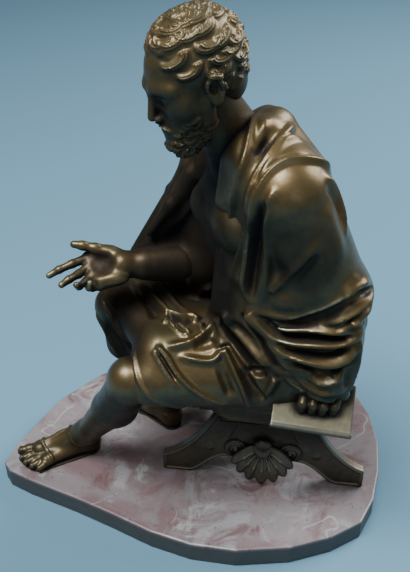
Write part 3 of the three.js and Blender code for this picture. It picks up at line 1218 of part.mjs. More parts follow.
// The carving on one panel; the panel on the far side is plainer
const ornament = (outer) => {
  const out = Math.sign(outer);
  const near = out < 0;
  const parts = [];
  for (const side of [-1, 1]) {
    const x = stoolMiddle + side * scroll.spread;
    const face = outer + out * scroll.relief;
    const disc = new THREE.CylinderGeometry(scroll.radius, scroll.radius, panelThickness, 20);
    parts.push(solidOfGeometry(disc.translate(x, face - (out * panelThickness) / 2, scroll.height)));
    parts.push(boss(x, face, scroll.height, 2, 1.6, 2));
    if (!near) continue;
    parts.push(spiral(x, face, scroll.height, side));
    const { radius, height, spread } = rosette;
    parts.push(boss(stoolMiddle + side * spread, outer, height, radius, radius / 2, radius));
  }
  parts.push(boss(stoolMiddle, outer - out, palmette.root - 12, 17, 4.4, 15));
  const petals = near ? 5 : 3;
  const fan = near ? 0.42 : 0.6;
  for (let i = 0; i < petals; i++) {
    const turn = (i - (petals - 1) / 2) * fan;
    const length = palmette.length - 5.5 * Math.abs(turn) ** 1.5;
    const middle = length * 0.54;
    const x = stoolMiddle - middle * Math.cos(palmette.lean) * Math.sin(turn);
    const y = outer + out * (1.5 + middle * Math.sin(palmette.lean));
    const z = palmette.root - middle * Math.cos(palmette.lean) * Math.cos(turn);
    parts.push(boss(x, y, z, palmette.halfWidth, 3.8, length / 2, turn, out * palmette.lean));
  }
  parts.push(boss(stoolMiddle, outer + out * 2, palmette.root, 6, 4, 4.5));
  const railLow = V(stoolMiddle - 31, Math.min(outer + out * 2, outer - out * 4), 69);
  const railHigh = V(stoolMiddle + 31, Math.max(outer + out * 2, outer - out * 4), seat.low + 1);
  parts.push(boxSolid(railLow, railHigh));
  return parts;
};

// Joined bodies, with the small pockets that the joining shuts in left out
const joined = (solids) =>
  wasm.Manifold.union(
    wasm.Manifold.union(solids).decompose().filter((body) => body.volume() > 0),
  ).simplify(joinTolerance);
const stoolSolid = joined([
  panelSolid(stoolNearSide),
  panelSolid(stoolFarSide),
  ...ornament(stoolNearSide),
  ...ornament(stoolFarSide),
  boxSolid(V(seat.left, stoolNearSide, seat.low), V(seat.right, stoolFarSide, seatTop)),
  boxSolid(V(stoolMiddle - 5, stoolNearSide + 4, 44), V(stoolMiddle + 5, stoolFarSide - 4, 54)),
]);

// Colours and the finished group
const finish = (name, color, roughness, metalness) =>
  new THREE.MeshStandardMaterial({ name, color, roughness, metalness });
const bronze = finish("bronze", 0x6e5a33, 0.38, 0.95);
const stoolBronze = finish("stoolBronze", 0x5b4c2f, 0.45, 0.95);
const marble = finish("marble", 0xc9a29c, 0.35, 0);

const piece = (name, geometry, material) => {
  const mesh = new THREE.Mesh(geometry, material);
  mesh.name = name;
  return mesh;
};
const group = new THREE.Group();
group.add(
  piece("marble_slab", slabGeometry, marble),
  piece("stool", geometryOf(stoolSolid), stoolBronze),
  piece("figure", geometryOf(figureSolid), bronze),
);
export default group;
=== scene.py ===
import math
import bpy
import numpy as np
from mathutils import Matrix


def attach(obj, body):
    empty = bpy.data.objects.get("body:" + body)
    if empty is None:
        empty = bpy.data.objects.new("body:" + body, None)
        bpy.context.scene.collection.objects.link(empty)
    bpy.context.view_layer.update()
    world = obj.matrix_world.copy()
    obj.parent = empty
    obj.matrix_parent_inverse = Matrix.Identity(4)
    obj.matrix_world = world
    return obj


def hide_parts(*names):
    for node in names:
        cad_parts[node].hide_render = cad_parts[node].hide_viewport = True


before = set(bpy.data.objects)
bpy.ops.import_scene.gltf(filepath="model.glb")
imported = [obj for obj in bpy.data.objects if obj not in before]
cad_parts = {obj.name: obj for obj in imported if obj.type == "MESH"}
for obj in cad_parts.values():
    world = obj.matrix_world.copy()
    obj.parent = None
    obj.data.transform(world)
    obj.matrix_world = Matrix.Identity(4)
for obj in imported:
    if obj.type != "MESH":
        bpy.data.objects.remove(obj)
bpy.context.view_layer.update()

import openvdb
from mathutils import Vector

print("frame loaded")

# The figure and the stool are modelled in millimetres as distance fields,
# and turned into meshes in metres.
millimetre = 0.001


def vec(x, y, z):
    return np.array([x, y, z], dtype=float)


def mix(a, b, t):
    return a + (b - a) * t


def unit(v):
    return v / np.linalg.norm(v)


def smoothMin(a, b, fillet):
    if fillet <= 0:
        return np.minimum(a, b)
    overlap = np.maximum(fillet - np.abs(a - b), 0)
    return np.minimum(a, b) - overlap * overlap / (4 * fillet)


# Forms: each has a box and a distance that works on single points and on whole grids
class Form:
    def __init__(self, low, high, distance, pieces=None):
        self.low = np.asarray(low, dtype=float)
        self.high = np.asarray(high, dtype=float)
        self.distance = distance
        self.pieces = pieces


def limb(a, b, ra, rb=None):  # a rounded limb with a radius at each end
    rb = ra if rb is None else rb
    ax, ay, az = map(float, a)
    dx, dy, dz = map(float, b - a)
    length2 = max(dx * dx + dy * dy + dz * dz, 1e-9)

    def distance(x, y, z):
        px, py, pz = x - ax, y - ay, z - az
        t = np.clip((px * dx + py * dy + pz * dz) / length2, 0, 1)
        away = np.sqrt((px - t * dx) ** 2 + (py - t * dy) ** 2 + (pz - t * dz) ** 2)
        return away - ra - t * (rb - ra)

    return Form(np.minimum(a - ra, b - rb), np.maximum(a + ra, b + rb), distance)


def chain(links):  # limbs from each (place, radius) to the next
    return [limb(a, b, ra, rb) for (a, ra), (b, rb) in zip(links, links[1:])]


def pair(make):  # the same form on both sides
    return [make(1), make(-1)]


upright = np.eye(3)


def turned(turn, x, y, z):  # a point as a turned frame sees it
    return [row[0] * x + row[1] * y + row[2] * z for row in turn]


def egg(centre, radii, turn=upright):
    cx, cy, cz = map(float, centre)
    rx, ry, rz = map(float, radii)
    m = turn.astype(float).tolist()
    reach = np.abs(turn.T) @ np.asarray(radii, dtype=float)

    def distance(x, y, z):
        ux, uy, uz = turned(m, x - cx, y - cy, z - cz)
        qx, qy, qz = ux / rx, uy / ry, uz / rz
        k0 = np.sqrt(qx * qx + qy * qy + qz * qz)
        k1 = np.sqrt((qx / rx) ** 2 + (qy / ry) ** 2 + (qz / rz) ** 2)
        return k0 * (k0 - 1) / np.maximum(k1, 1e-6)

    return Form(centre - reach, centre + reach, distance)


def web(a, b, c, r):  # a triangle of cloth with a thickness
    across = unit(np.cross(b - a, c - a))
    corners = [a, b, c]
    edges = [limb(p, q, 0) for p, q in ((a, b), (b, c), (c, a))]
    walls = [(p, np.cross(q - p, across)) for p, q in ((a, b), (b, c), (c, a))]

    def over(x, y, z, place, way):  # how far a point lies over a plane
        return ((x - float(place[0])) * float(way[0]) + (y - float(place[1])) * float(way[1])
                + (z - float(place[2])) * float(way[2]))

    def distance(x, y, z):
        within = True
        for place, way in walls:
            within = (over(x, y, z, place, way) <= 0) & within
        rim = edges[0].distance(x, y, z)
        for edge in edges[1:]:
            rim = np.minimum(rim, edge.distance(x, y, z))
        return np.where(within, np.abs(over(x, y, z, a, across)), rim) - r

    return Form(np.min(corners, axis=0) - r, np.max(corners, axis=0) + r, distance)


def block(centre, half, r, turn=upright):  # a box with rounded edges
    m = turn.astype(float).tolist()
    cx, cy, cz = map(float, centre)
    hx, hy, hz = map(float, half)
    reach = np.abs(turn.T) @ np.asarray(half, dtype=float) + r

    def distance(x, y, z):
        ux, uy, uz = turned(m, x - cx, y - cy, z - cz)
        dx, dy, dz = np.abs(ux) - hx, np.abs(uy) - hy, np.abs(uz) - hz
        outside = np.sqrt(np.maximum(dx, 0) ** 2 + np.maximum(dy, 0) ** 2 + np.maximum(dz, 0) ** 2)
        return outside + np.minimum(np.maximum(np.maximum(dx, dy), dz), 0) - r

    return Form(centre - reach, centre + reach, distance)


class Space:  # a frame for small parts: points are given as (forward, side, up)
    def __init__(self, origin, forward, up, scale=1.0):
        f = unit(forward)
        side = unit(np.cross(up, f))
        self.turn = np.array([f, side, np.cross(f, side)])
        self.origin = origin
        self.scale = scale

    def __call__(self, a, b, c):
        return self.origin + self.scale * (vec(a, b, c) @ self.turn)


def plate(on, a, b, ra, rb, low, high):  # a flat sole between two rounded ends
    flat = limb(vec(*a, 0), vec(*b, 0), ra, rb)
    m = on.turn.tolist()
    corners = [on(c[0] + s * r, c[1] + t * r, u) for c, r in ((a, ra), (b, rb))
               for s in (-1, 1) for t in (-1, 1) for u in (low, high)]
    ox, oy, oz = map(float, on.origin)

    def distance(x, y, z):
        px, py, pz = (x - ox) / on.scale, (y - oy) / on.scale, (z - oz) / on.scale
        ahead, aside, u = turned(m, px, py, pz)
        inPlane = flat.distance(ahead, aside, 0.0)
        return np.maximum(inPlane, np.maximum(u - high, low - u)) * on.scale

    return Form(np.min(corners, axis=0), np.max(corners, axis=0), distance)


# Windows are the parts of a grid that a form reaches: a slice for each axis
def sharedWindow(inner, outer):  # where two windows overlap, or None
    if inner is None:
        return None
    shared = tuple(slice(max(i.start, o.start), min(i.stop, o.stop)) for i, o in zip(inner, outer))
    return None if any(s.stop <= s.start for s in shared) else shared


def localWindow(inner, outer):  # the inner window, counted from where the outer one starts
    return tuple(slice(i.start - o.start, i.stop - o.start) for i, o in zip(inner, outer))


class Grid:
    def __init__(self, low, high, step, band=3.0):
        self.low = np.asarray(low, dtype=float)
        self.step = step
        self.band = band
        self.size = np.ceil((np.asarray(high, dtype=float) - self.low) / step).astype(int) + 1
        self.axes = [(start + step * np.arange(count)).astype(np.float32)
                     for start, count in zip(self.low, self.size)]

    def window(self, low, high, margin):
        first = np.floor((low - margin - self.low) / self.step).astype(int)
        last = np.ceil((high + margin - self.low) / self.step).astype(int) + 1
        first, last = np.clip(first, 0, self.size), np.clip(last, 0, self.size)
        if np.any(last <= first):
            return None
        return tuple(slice(first[i], last[i]) for i in range(3))

    def coordinates(self, window):
        x, y, z = (self.axes[i][window[i]] for i in range(3))
        return x[:, None, None], y[None, :, None], z[None, None, :]

    def sample(self, field, points):  # the field's value at points in mm
        place = np.clip((points - self.low) / self.step, 0, self.size - 1.001)
        cell = np.floor(place).astype(int)
        w = (place - cell).astype(np.float32)
        total = 0
        for corner in range(8):
            shift = [(corner >> axis) & 1 for axis in range(3)]
            share = np.prod([w[:, i] if shift[i] else 1 - w[:, i] for i in range(3)], axis=0)
            total = total + share * field[tuple((cell + shift).T)]
        return total


class Clay:  # forms put on and cut away one after another, each with its own fillet
    far = 30.0

    def __init__(self, strokes=()):
        self.strokes = list(strokes)

    def put(self, fillet, *forms):
        self.strokes += [(1, fillet, form) for form in forms]

    def cut(self, fillet, *forms):
        self.strokes += [(-1, fillet, form) for form in forms]

    def at(self, points):
        x, y, z = points.T
        d = np.full(len(points), 1000.0)
        for sign, fillet, form in self.strokes:
            e = form.distance(x, y, z)
            d = smoothMin(d, e, fillet) if sign > 0 else -smoothMin(-d, e, fillet)
        return d

    def normals(self, points, probe=1.2):
        d = [[self.at(points + sign * probe * axis) for sign in (1, -1)] for axis in np.eye(3)]
        n = np.stack([plus - minus for plus, minus in d], axis=1)
        return n / np.maximum(np.linalg.norm(n, axis=1, keepdims=True), 1e-9)

    # points moved onto the surface, or to a height over it, in a few rounds of probing
    def settle(self, points, lift=0.0, probe=0.4, rounds=12):
        p = np.array(points, dtype=float)
        lift = np.broadcast_to(lift, len(p))
        steps = [s * probe * axis for axis in np.eye(3) for s in (1, -1)]
        offsets = np.vstack([np.zeros(3), *steps])
        for _ in range(rounds):
            d = self.at((p[:, None] + offsets[None]).reshape(-1, 3)).reshape(-1, 7)
            n = np.stack([d[:, 1] - d[:, 2], d[:, 3] - d[:, 4], d[:, 5] - d[:, 6]], axis=1)
            n /= np.maximum(np.linalg.norm(n, axis=1, keepdims=True), 1e-9)
            p += n * ((lift - d[:, 0]) * 0.8)[:, None]
        return p

    def fill(self, grid):
        d = np.full(grid.size, self.far, dtype=np.float32)
        for sign, fillet, form in self.strokes:
            window = grid.window(form.low, form.high, fillet + grid.band)
            if window is None:
                continue
            if isinstance(form, (Fold, Mane)):
                d[window] -= form.raised(grid, window)
                continue
            if form.pieces:
                e = np.full([s.stop - s.start for s in window], self.far, dtype=np.float32)
                for piece in form.pieces:
                    inner = grid.window(piece.low, piece.high, fillet + grid.band)
                    if inner is None:
                        continue
                    local = localWindow(inner, window)
                    e[local] = np.minimum(e[local], piece.distance(*grid.coordinates(inner)))
            else:
                e = form.distance(*grid.coordinates(window))
            old = d[window]
            d[window] = smoothMin(old, e, fillet) if sign > 0 else -smoothMin(-old, e, fillet)
        return d


def curveThrough(points, count):  # evenly spread points on a smooth curve through the given ones
    points = np.asarray(points, dtype=float)
    last = len(points) - 1
    found = []
    for i in range(count + 1):
        t = i / count * last
        j = min(int(t), last - 1)
        w = t - j
        p1, p2 = points[j], points[j + 1]
        p0 = points[j - 1] if j > 0 else 2 * p1 - p2
        p3 = points[j + 2] if j + 2 <= last else 2 * p2 - p1
        d0, d1, d2 = (max(np.linalg.norm(v), 1e-4) ** 0.5 for v in (p1 - p0, p2 - p1, p3 - p2))
        t1 = ((p1 - p0) / d0 - (p2 - p0) / (d0 + d1) + (p2 - p1) / d1) * d1
        t2 = ((p2 - p1) / d1 - (p3 - p1) / (d1 + d2) + (p3 - p2) / d2) * d1
        found.append(p1 + t1 * w + (3 * (p2 - p1) - 2 * t1 - t2) * w ** 2
                     + (2 * (p1 - p2) + t1 + t2) * w ** 3)
    return np.array(found)


def lengthThrough(points, count=40):
    return np.linalg.norm(np.diff(curveThrough(points, count), axis=0), axis=1).sum()


def smoothed(places, passes):
    for _ in range(passes):
        before = np.vstack([places[:1], places[:-1]])
        after = np.vstack([places[1:], places[-1:]])
        places = (2 * places + before + after) / 4
    return places


def rollOn(clay, points, halfWidth, height):  # a roll of clay sunk in the surface
    settled = clay.settle(points)
    spans = max(4, round(lengthThrough(settled) / 4))
    radius = (halfWidth ** 2 + height ** 2) / (2 * height)
    sizes = np.maximum(0.25, np.sin(np.linspace(0, math.pi, spans + 1)).clip(0) ** 0.6)
    places = clay.settle(curveThrough(settled, spans), (height - radius) * sizes)
    places = smoothed(places, 3)
    pieces = chain([(p, float(radius * s)) for p, s in zip(places, sizes)])
    low = np.min([piece.low for piece in pieces], axis=0)
    high = np.max([piece.high for piece in pieces], axis=0)

    def distance(x, y, z):
        found = pieces[0].distance(x, y, z)
        for piece in pieces[1:]:
            found = np.minimum(found, piece.distance(x, y, z))
        return found

    return Form(low, high, distance, pieces)


# A fold raised on the clay along a path, or a valley where its height is below 0. Its crest
# is round at sharp 0 and keen at sharp 1; ends are the shares of its length over which it
# rises and dies away, taper is the share of its width that it loses on the way, and strands
# combs it into fine lines.
class Fold:
    pieces = None
    depth = 9.0

    def __init__(self, clay, points, halfWidth, height, sharp=0.5, ends=(0.3, 0.3),
                 taper=0.0, strands=0.0, span=4.0):
        settled = clay.settle(points)
        spans = max(5, round(lengthThrough(settled) / span))
        self.centres = smoothed(clay.settle(curveThrough(settled, spans)), 2)
        self.normals = smoothed(clay.normals(self.centres), 2)
        self.normals /= np.linalg.norm(self.normals, axis=1, keepdims=True)
        self.sides = np.cross(self.normals, np.gradient(self.centres, axis=0))
        self.sides /= np.maximum(np.linalg.norm(self.sides, axis=1, keepdims=True), 1e-9)
        t = np.linspace(0, 1, spans + 1)
        rise = np.minimum(t / ends[0], (1 - t) / ends[1]).clip(0, 1)
        self.strength = rise * rise * (3 - 2 * rise)
        self.widths = halfWidth * (1 - taper * t * t)
        self.height, self.sharp, self.strands = height, sharp, strands
        self.margin = max(halfWidth, 6) + 1
        self.low = self.centres.min(axis=0) - self.margin
        self.high = self.centres.max(axis=0) + self.margin

    def raised(self, grid, window):  # how much the surface rises in this window of the grid
        shape = [s.stop - s.start for s in window]
        nearest = np.full(shape, 1e6, dtype=np.float32)
        rise = np.zeros(shape, dtype=np.float32)
        for i in range(len(self.centres) - 1):
            a, b = self.centres[i], self.centres[i + 1]
            reach = grid.window(np.minimum(a, b), np.maximum(a, b), self.margin)
            inner = sharedWindow(reach, window)
            if inner is None:
                continue
            local = localWindow(inner, window)
            x, y, z = grid.coordinates(inner)
            dx, dy, dz = map(float, b - a)
            px, py, pz = x - float(a[0]), y - float(a[1]), z - float(a[2])
            t = np.clip((px * dx + py * dy + pz * dz) / (dx * dx + dy * dy + dz * dz + 1e-9), 0, 1)
            rx, ry, rz = px - t * dx, py - t * dy, pz - t * dz
            nx, ny, nz = map(float, self.normals[i])
            tx, ty, tz = map(float, self.normals[i + 1] - self.normals[i])
            out = rx * (nx + t * tx) + ry * (ny + t * ty) + rz * (nz + t * tz)
            flat2 = np.maximum(rx * rx + ry * ry + rz * rz - out * out, 0)
            cost = flat2 + 0.2 * out * out
            width = float(self.widths[i]) + t * float(self.widths[i + 1] - self.widths[i])
            u2 = flat2 / (width * width)
            soft = np.clip(1 - u2, 0, 1) ** 2
            keen = np.clip(1 - (np.sqrt(u2 + 0.02) - 0.14) / 0.87, 0, 1) ** 1.8
            strength = float(self.strength[i]) + t * float(self.strength[i + 1] - self.strength[i])
            fade = np.clip(1.6 * (1 - np.abs(out) / self.depth), 0, 1)
            height = (soft + (keen - soft) * self.sharp) * strength * fade
            if self.strands:
                sx, sy, sz = map(float, self.sides[i])
                across = (rx * sx + ry * sy + rz * sz) / width
                height = height * (0.84 + 0.16 * np.cos(2 * math.pi * self.strands * across))
            better = cost < nearest[local]
            nearest[local] = np.where(better, cost, nearest[local])
            rise[local] = np.where(better, height, rise[local])
        return rise * self.height


class Mane:  # locks that lie over each other, so that only the highest counts
    pieces = None

    def __init__(self, locks):
        self.locks = locks
        self.low = np.min([lock.low for lock in locks], axis=0)
        self.high = np.max([lock.high for lock in locks], axis=0)

    def raised(self, grid, window):
        rise = np.zeros([s.stop - s.start for s in window], dtype=np.float32)
        for lock in self.locks:
            inner = sharedWindow(grid.window(lock.low, lock.high, 0), window)
            if inner is None:
                continue
            local = localWindow(inner, window)
            rise[local] = np.maximum(rise[local], lock.raised(grid, inner))
        return rise


def meshObject(name, points, faces, material):
    mesh = bpy.data.meshes.new(name)
    corners = faces.shape[1]
    mesh.vertices.add(len(points))
    mesh.vertices.foreach_set("co", (points * millimetre).astype(np.float32).ravel())
    mesh.loops.add(len(faces) * corners)
    mesh.loops.foreach_set("vertex_index", faces.astype(np.int32).ravel())
    mesh.polygons.add(len(faces))
    starts = np.arange(0, len(faces) * corners, corners, dtype=np.int32)
    mesh.polygons.foreach_set("loop_start", starts)
    mesh.update(calc_edges=True)
    mesh.materials.append(material)
    obj = bpy.data.objects.new(name, mesh)
    bpy.context.collection.objects.link(obj)
    return obj


def valuesOf(mesh, key):  # three numbers of each point: "co" or "normal"
    found = np.empty(len(mesh.vertices) * 3, dtype=np.float32)
    mesh.vertices.foreach_get(key, found)
    return found.reshape(-1, 3)


# Skins a field, drops what lies buried in another one, and keeps the count of triangles down
def skinField(name, field, grid, material, triangles, hiddenIn=None, buriedDepth=1.2):
    vdb = openvdb.FloatGrid(Clay.far)
    vdb.copyFromArray(np.ascontiguousarray(field))
    points, quads = vdb.convertToQuads(0.0)
    points = points * grid.step + grid.low
    if hiddenIn is not None:
        coverField, coverGrid = hiddenIn
        buried = coverGrid.sample(coverField, points) < -buriedDepth
        quads = quads[~buried[quads].all(axis=1)]
        used, quads = np.unique(quads, return_inverse=True)
        points = points[used]
        quads = quads.reshape(-1, 4)
    obj = meshObject(name, points, quads, material)
    count = 2 * len(quads)
    if count > triangles:
        thin = obj.modifiers.new("thin", "DECIMATE")
        thin.ratio = triangles / count
        thin.use_collapse_triangulate = True
        seen = obj.evaluated_get(bpy.context.evaluated_depsgraph_get())
        lean = bpy.data.meshes.new_from_object(seen)
        old = obj.data
        obj.modifiers.clear()
        obj.data = lean
        bpy.data.meshes.remove(old)
    obj.data.name = name
    obj.data.shade_smooth()
    kept = sum(len(face.vertices) - 2 for face in obj.data.polygons)
    print(name, "from", count, "to", kept, "triangles")
    return obj


# What the finish and the painted shade of a piece need to know are kept with its mesh, as values
# from 0 to 1
def keepValue(obj, name, value):
    layer = obj.data.attributes.new(name, "FLOAT", "POINT")
    layer.data.foreach_set("value", np.clip(value, 0, 1).astype(np.float32))


skyRule = {
    "tilt": 50,  # of the ways round the upright one, in degrees
    "turns": [70, 142, 214, 286, 358],
    "steps": (5.0, 11.0, 20.0, 32.0),  # how far along each way the room is measured, in mm
    "lift": 1.5,
    "spread": 0.45,
    "gain": 1.6,
}


# painted shade: the colour darkens where a point sees little sky, in hollows, between parts and on
# undersides
def markSkyShade(obj, field, grid):  # how little of the sky a point sees
    points, normals = valuesOf(obj.data, "co") / millimetre, valuesOf(obj.data, "normal")
    tilt = math.radians(skyRule["tilt"])
    ways = [vec(0, 0, 1)]
    for turn in np.radians(skyRule["turns"]):
        out = math.sin(tilt)
        ways.append(vec(out * math.cos(turn), out * math.sin(turn), math.cos(tilt)))
    seen = 0
    for way in ways:
        clear = 1.0
        for distance in skyRule["steps"]:
            room = grid.sample(field, points + normals * skyRule["lift"] + way * distance)
            clear = np.minimum(clear, np.clip(room / (distance * skyRule["spread"]), 0, 1))
        seen = seen + clear * np.clip(0.25 + 0.75 * (normals @ way), 0, 1)
    keepValue(obj, "skyShade", 1 - seen / len(ways) * skyRule["gain"])


# How deep a point lies in a hollow, or how far it stands out where the reach is below 0. The colour
# darkens in the hollows: painted shade in the broad ones, dark patina in the fine ones
def markHollowsAndHighPoints(obj, field, grid, reaches):
    points, normals = valuesOf(obj.data, "co") / millimetre, valuesOf(obj.data, "normal")
    for name, reach in reaches.items():
        if reach > 0:
            value = 1 - grid.sample(field, points + normals * reach) / reach
        else:
            value = 1 + grid.sample(field, points + normals * reach) / -reach
        keepValue(obj, name, value)


# Where the cast is dull and dark: forms in mm with a strength, that fade out over a soft edge. This
# is partly a matte dark patina and partly painted shade, where the chest, the forearm, the cape and
# the knee cloth lie in shadow
def markDullAndShade(obj, places, edge=5.0):
    x, y, z = (valuesOf(obj.data, "co") / millimetre).T
    value = np.zeros(len(x))
    for strength, form in places:
        value = np.maximum(value, strength * np.clip(0.5 - form.distance(x, y, z) / edge, 0, 1))
    keepValue(obj, "dullAndShade", value)


# Materials
class Wire:  # a socket of a material, or its whole tree, that sums can be written with
    def __init__(self, tree, socket=None):
        self.tree = tree
        self.socket = socket

    def node(self, kind, settings=None, inputs=None, output=0):
        made = self.tree.nodes.new("ShaderNode" + kind)
        for name, value in (settings or {}).items():
            setattr(made, name, value)
        for name, value in (inputs or {}).items():
            if isinstance(value, Wire):
                self.tree.links.new(value.socket, made.inputs[name])
            else:
                made.inputs[name].default_value = value
        return Wire(self.tree, made.outputs[output])

    def math(self, operation, a, b):
        return self.node("Math", {"operation": operation}, {0: a, 1: b})

    def __add__(self, other):
        return self.math("ADD", self, other)

    def __sub__(self, other):
        return self.math("SUBTRACT", self, other)

    def __rsub__(self, other):
        return self.math("SUBTRACT", other, self)

    def __mul__(self, other):
        return self.math("MULTIPLY", self, other)

    __radd__ = __add__
    __rmul__ = __mul__

    def ramp(self, low, high):  # 0 below low and 1 above high, with soft ends
        return self.node("MapRange", {"interpolation_type": "SMOOTHSTEP"},
                         {"Value": self, "From Min": low, "From Max": high})

    def blend(self, first, second):  # from one colour to another, by this value
        return self.node("Mix", {"data_type": "RGBA"}, {0: self, 6: first, 7: second}, 2)

    def noise(self, place, scale, detail=4.0, rough=0.55, distortion=0.0):
        return self.node("TexNoise", {}, {"Vector": place, "Scale": scale, "Detail": detail,
                                          "Roughness": rough, "Distortion": distortion})


def rgb(r, g, b):
    return (r, g, b, 1.0)


def newMaterial(name):
    material = bpy.data.materials.new(name)
    material.use_nodes = True
    material.node_tree.nodes.clear()
    return material, Wire(material.node_tree)


def finishMaterial(wire, shader):
    out = wire.tree.nodes.new("ShaderNodeOutputMaterial")
    wire.tree.links.new(shader.socket, out.inputs["Surface"])


castBronze = {
    "patina": rgb(0.152, 0.105, 0.041),
    "olive": rgb(0.118, 0.096, 0.045),
    "rubbed": rgb(0.60, 0.54, 0.33),
    # painted shade where little sky is seen and on undersides
    "skyShade": rgb(0.027, 0.018, 0.010),
    # near black: dark patina in fine crevices, and painted shade in broad hollows and between parts
    "hollow": rgb(0.009, 0.006, 0.004),
    # matte dark patina in part, and painted shade where the chest, forearm and cape lie in shadow
    "dullAndShade": rgb(0.022, 0.015, 0.010),
    "wearFrom": 0.14,  # how far a point stands out where the rubbing starts, and where it is full
    "wearTo": 0.75,
    "metal": 0.72,
    "roughness": 0.35,
    "wax": 0.45,
    "grain": 0.13,
}
hairBronze = dict(castBronze, rubbed=rgb(0.34, 0.30, 0.17),
                  roughness=0.43, wearFrom=0.4, wearTo=1.1)
stoolBronze = dict(castBronze, patina=rgb(0.150, 0.122, 0.086), olive=rgb(0.140, 0.128, 0.096),
                   rubbed=rgb(0.34, 0.29, 0.18), roughness=0.42)
sheetBronze = dict(castBronze, patina=rgb(0.135, 0.130, 0.100), olive=rgb(0.12, 0.124, 0.100),
                   roughness=0.38, wearFrom=0.7, wearTo=1.3)


def bronzeMaterial(name, look):
    material, wire = newMaterial(name)
    place = wire.node("TexCoord", output="Object")
    deepShade, fine, proud, skyShade, dullAndShade = (
        wire.node("Attribute", {"attribute_name": kept}, output="Fac")
        for kept in ("deepShade", "fine", "proud", "skyShade", "dullAndShade"))
    clouds = wire.noise(place, 38, 5).ramp(0.38, 0.62)
    flecks = wire.noise(place, 260, 4).ramp(0.45, 0.7)
    # painted shade in broad hollows and between parts, dark patina in fine crevices
    hollow = (deepShade * 0.75 + fine * 0.65 + (flecks - 0.5) * 0.1).ramp(0.1, 0.72)
    # painted shade where little sky is seen and on undersides
    shaded = (skyShade + (clouds - 0.5) * 0.08).ramp(0.22, 0.95)
    worn = proud + (clouds - 0.5) * 0.1 + (flecks - 0.5) * 0.08
    # painted shade in part: the dull patches darken where the chest, forearm and cape lie in shadow
    dullAndShadeAmount = (clouds * 0.2 + 0.9) * dullAndShade
    rub = (worn.ramp(look["wearFrom"], look["wearTo"])
           * (1 - hollow) * (1 - shaded) * (1 - dullAndShadeAmount * 0.8) * 0.85)
    body = clouds.blend(look["patina"], look["olive"])
    body = (flecks * 0.2).blend(body, look["hollow"])
    body = (shaded * 0.9).blend(body, look["skyShade"])
    body = (dullAndShadeAmount * 0.9).blend(body, look["dullAndShade"])
    body = rub.blend(body, look["rubbed"])
    colour = hollow.blend(body, look["hollow"])
    rough = ((1 - rub) * 0.1 + hollow * 0.3 + shaded * 0.12 + dullAndShadeAmount * 0.16
             + look["roughness"] - 0.06 + flecks * 0.06)
    metal = (1 - hollow * 0.7) * look["metal"]
    coat = (1 - hollow) * (1 - shaded) * (1 - dullAndShadeAmount) * look["wax"]
    height = wire.noise(place, 420, 3) * 0.5 + clouds * 0.5
    bump = wire.node("Bump", {}, {"Height": height, "Strength": look["grain"], "Distance": 0.0006})
    shader = wire.node("BsdfPrincipled", {}, {
        "Base Color": colour, "Roughness": rough, "Metallic": metal, "Coat Weight": coat,
        "Coat Roughness": 0.25, "Normal": bump})
    finishMaterial(wire, shader)
    return material


figureMetal = bronzeMaterial("waxedBronze", castBronze)
hairMetal = bronzeMaterial("curledHairBronze", hairBronze)
stoolMetal = bronzeMaterial("darkStoolBronze", stoolBronze)
sheetMetal = bronzeMaterial("satinSheetBronze", sheetBronze)

rosedMarble = {
    "rose": rgb(0.225, 0.150, 0.158),
    "pale": rgb(0.275, 0.243, 0.255),
    "cream": rgb(0.36, 0.36, 0.375),
    "rust": rgb(0.145, 0.066, 0.068),
    "vein": rgb(0.44, 0.47, 0.46),
    "speck": rgb(0.045, 0.04, 0.045),
    "grey": rgb(0.19, 0.20, 0.19),
    "side": rgb(0.050, 0.057, 0.050),
    "bevel": rgb(0.125, 0.070, 0.075),
    "topDepth": 0.0003,  # depths below the upper face, in metres: where the bevel's colour starts,
    "bevelDepth": 0.0009,  # where it is full, and where the side's colour is full
    "sideDepth": 0.0030,
    "roughness": 0.28,
}


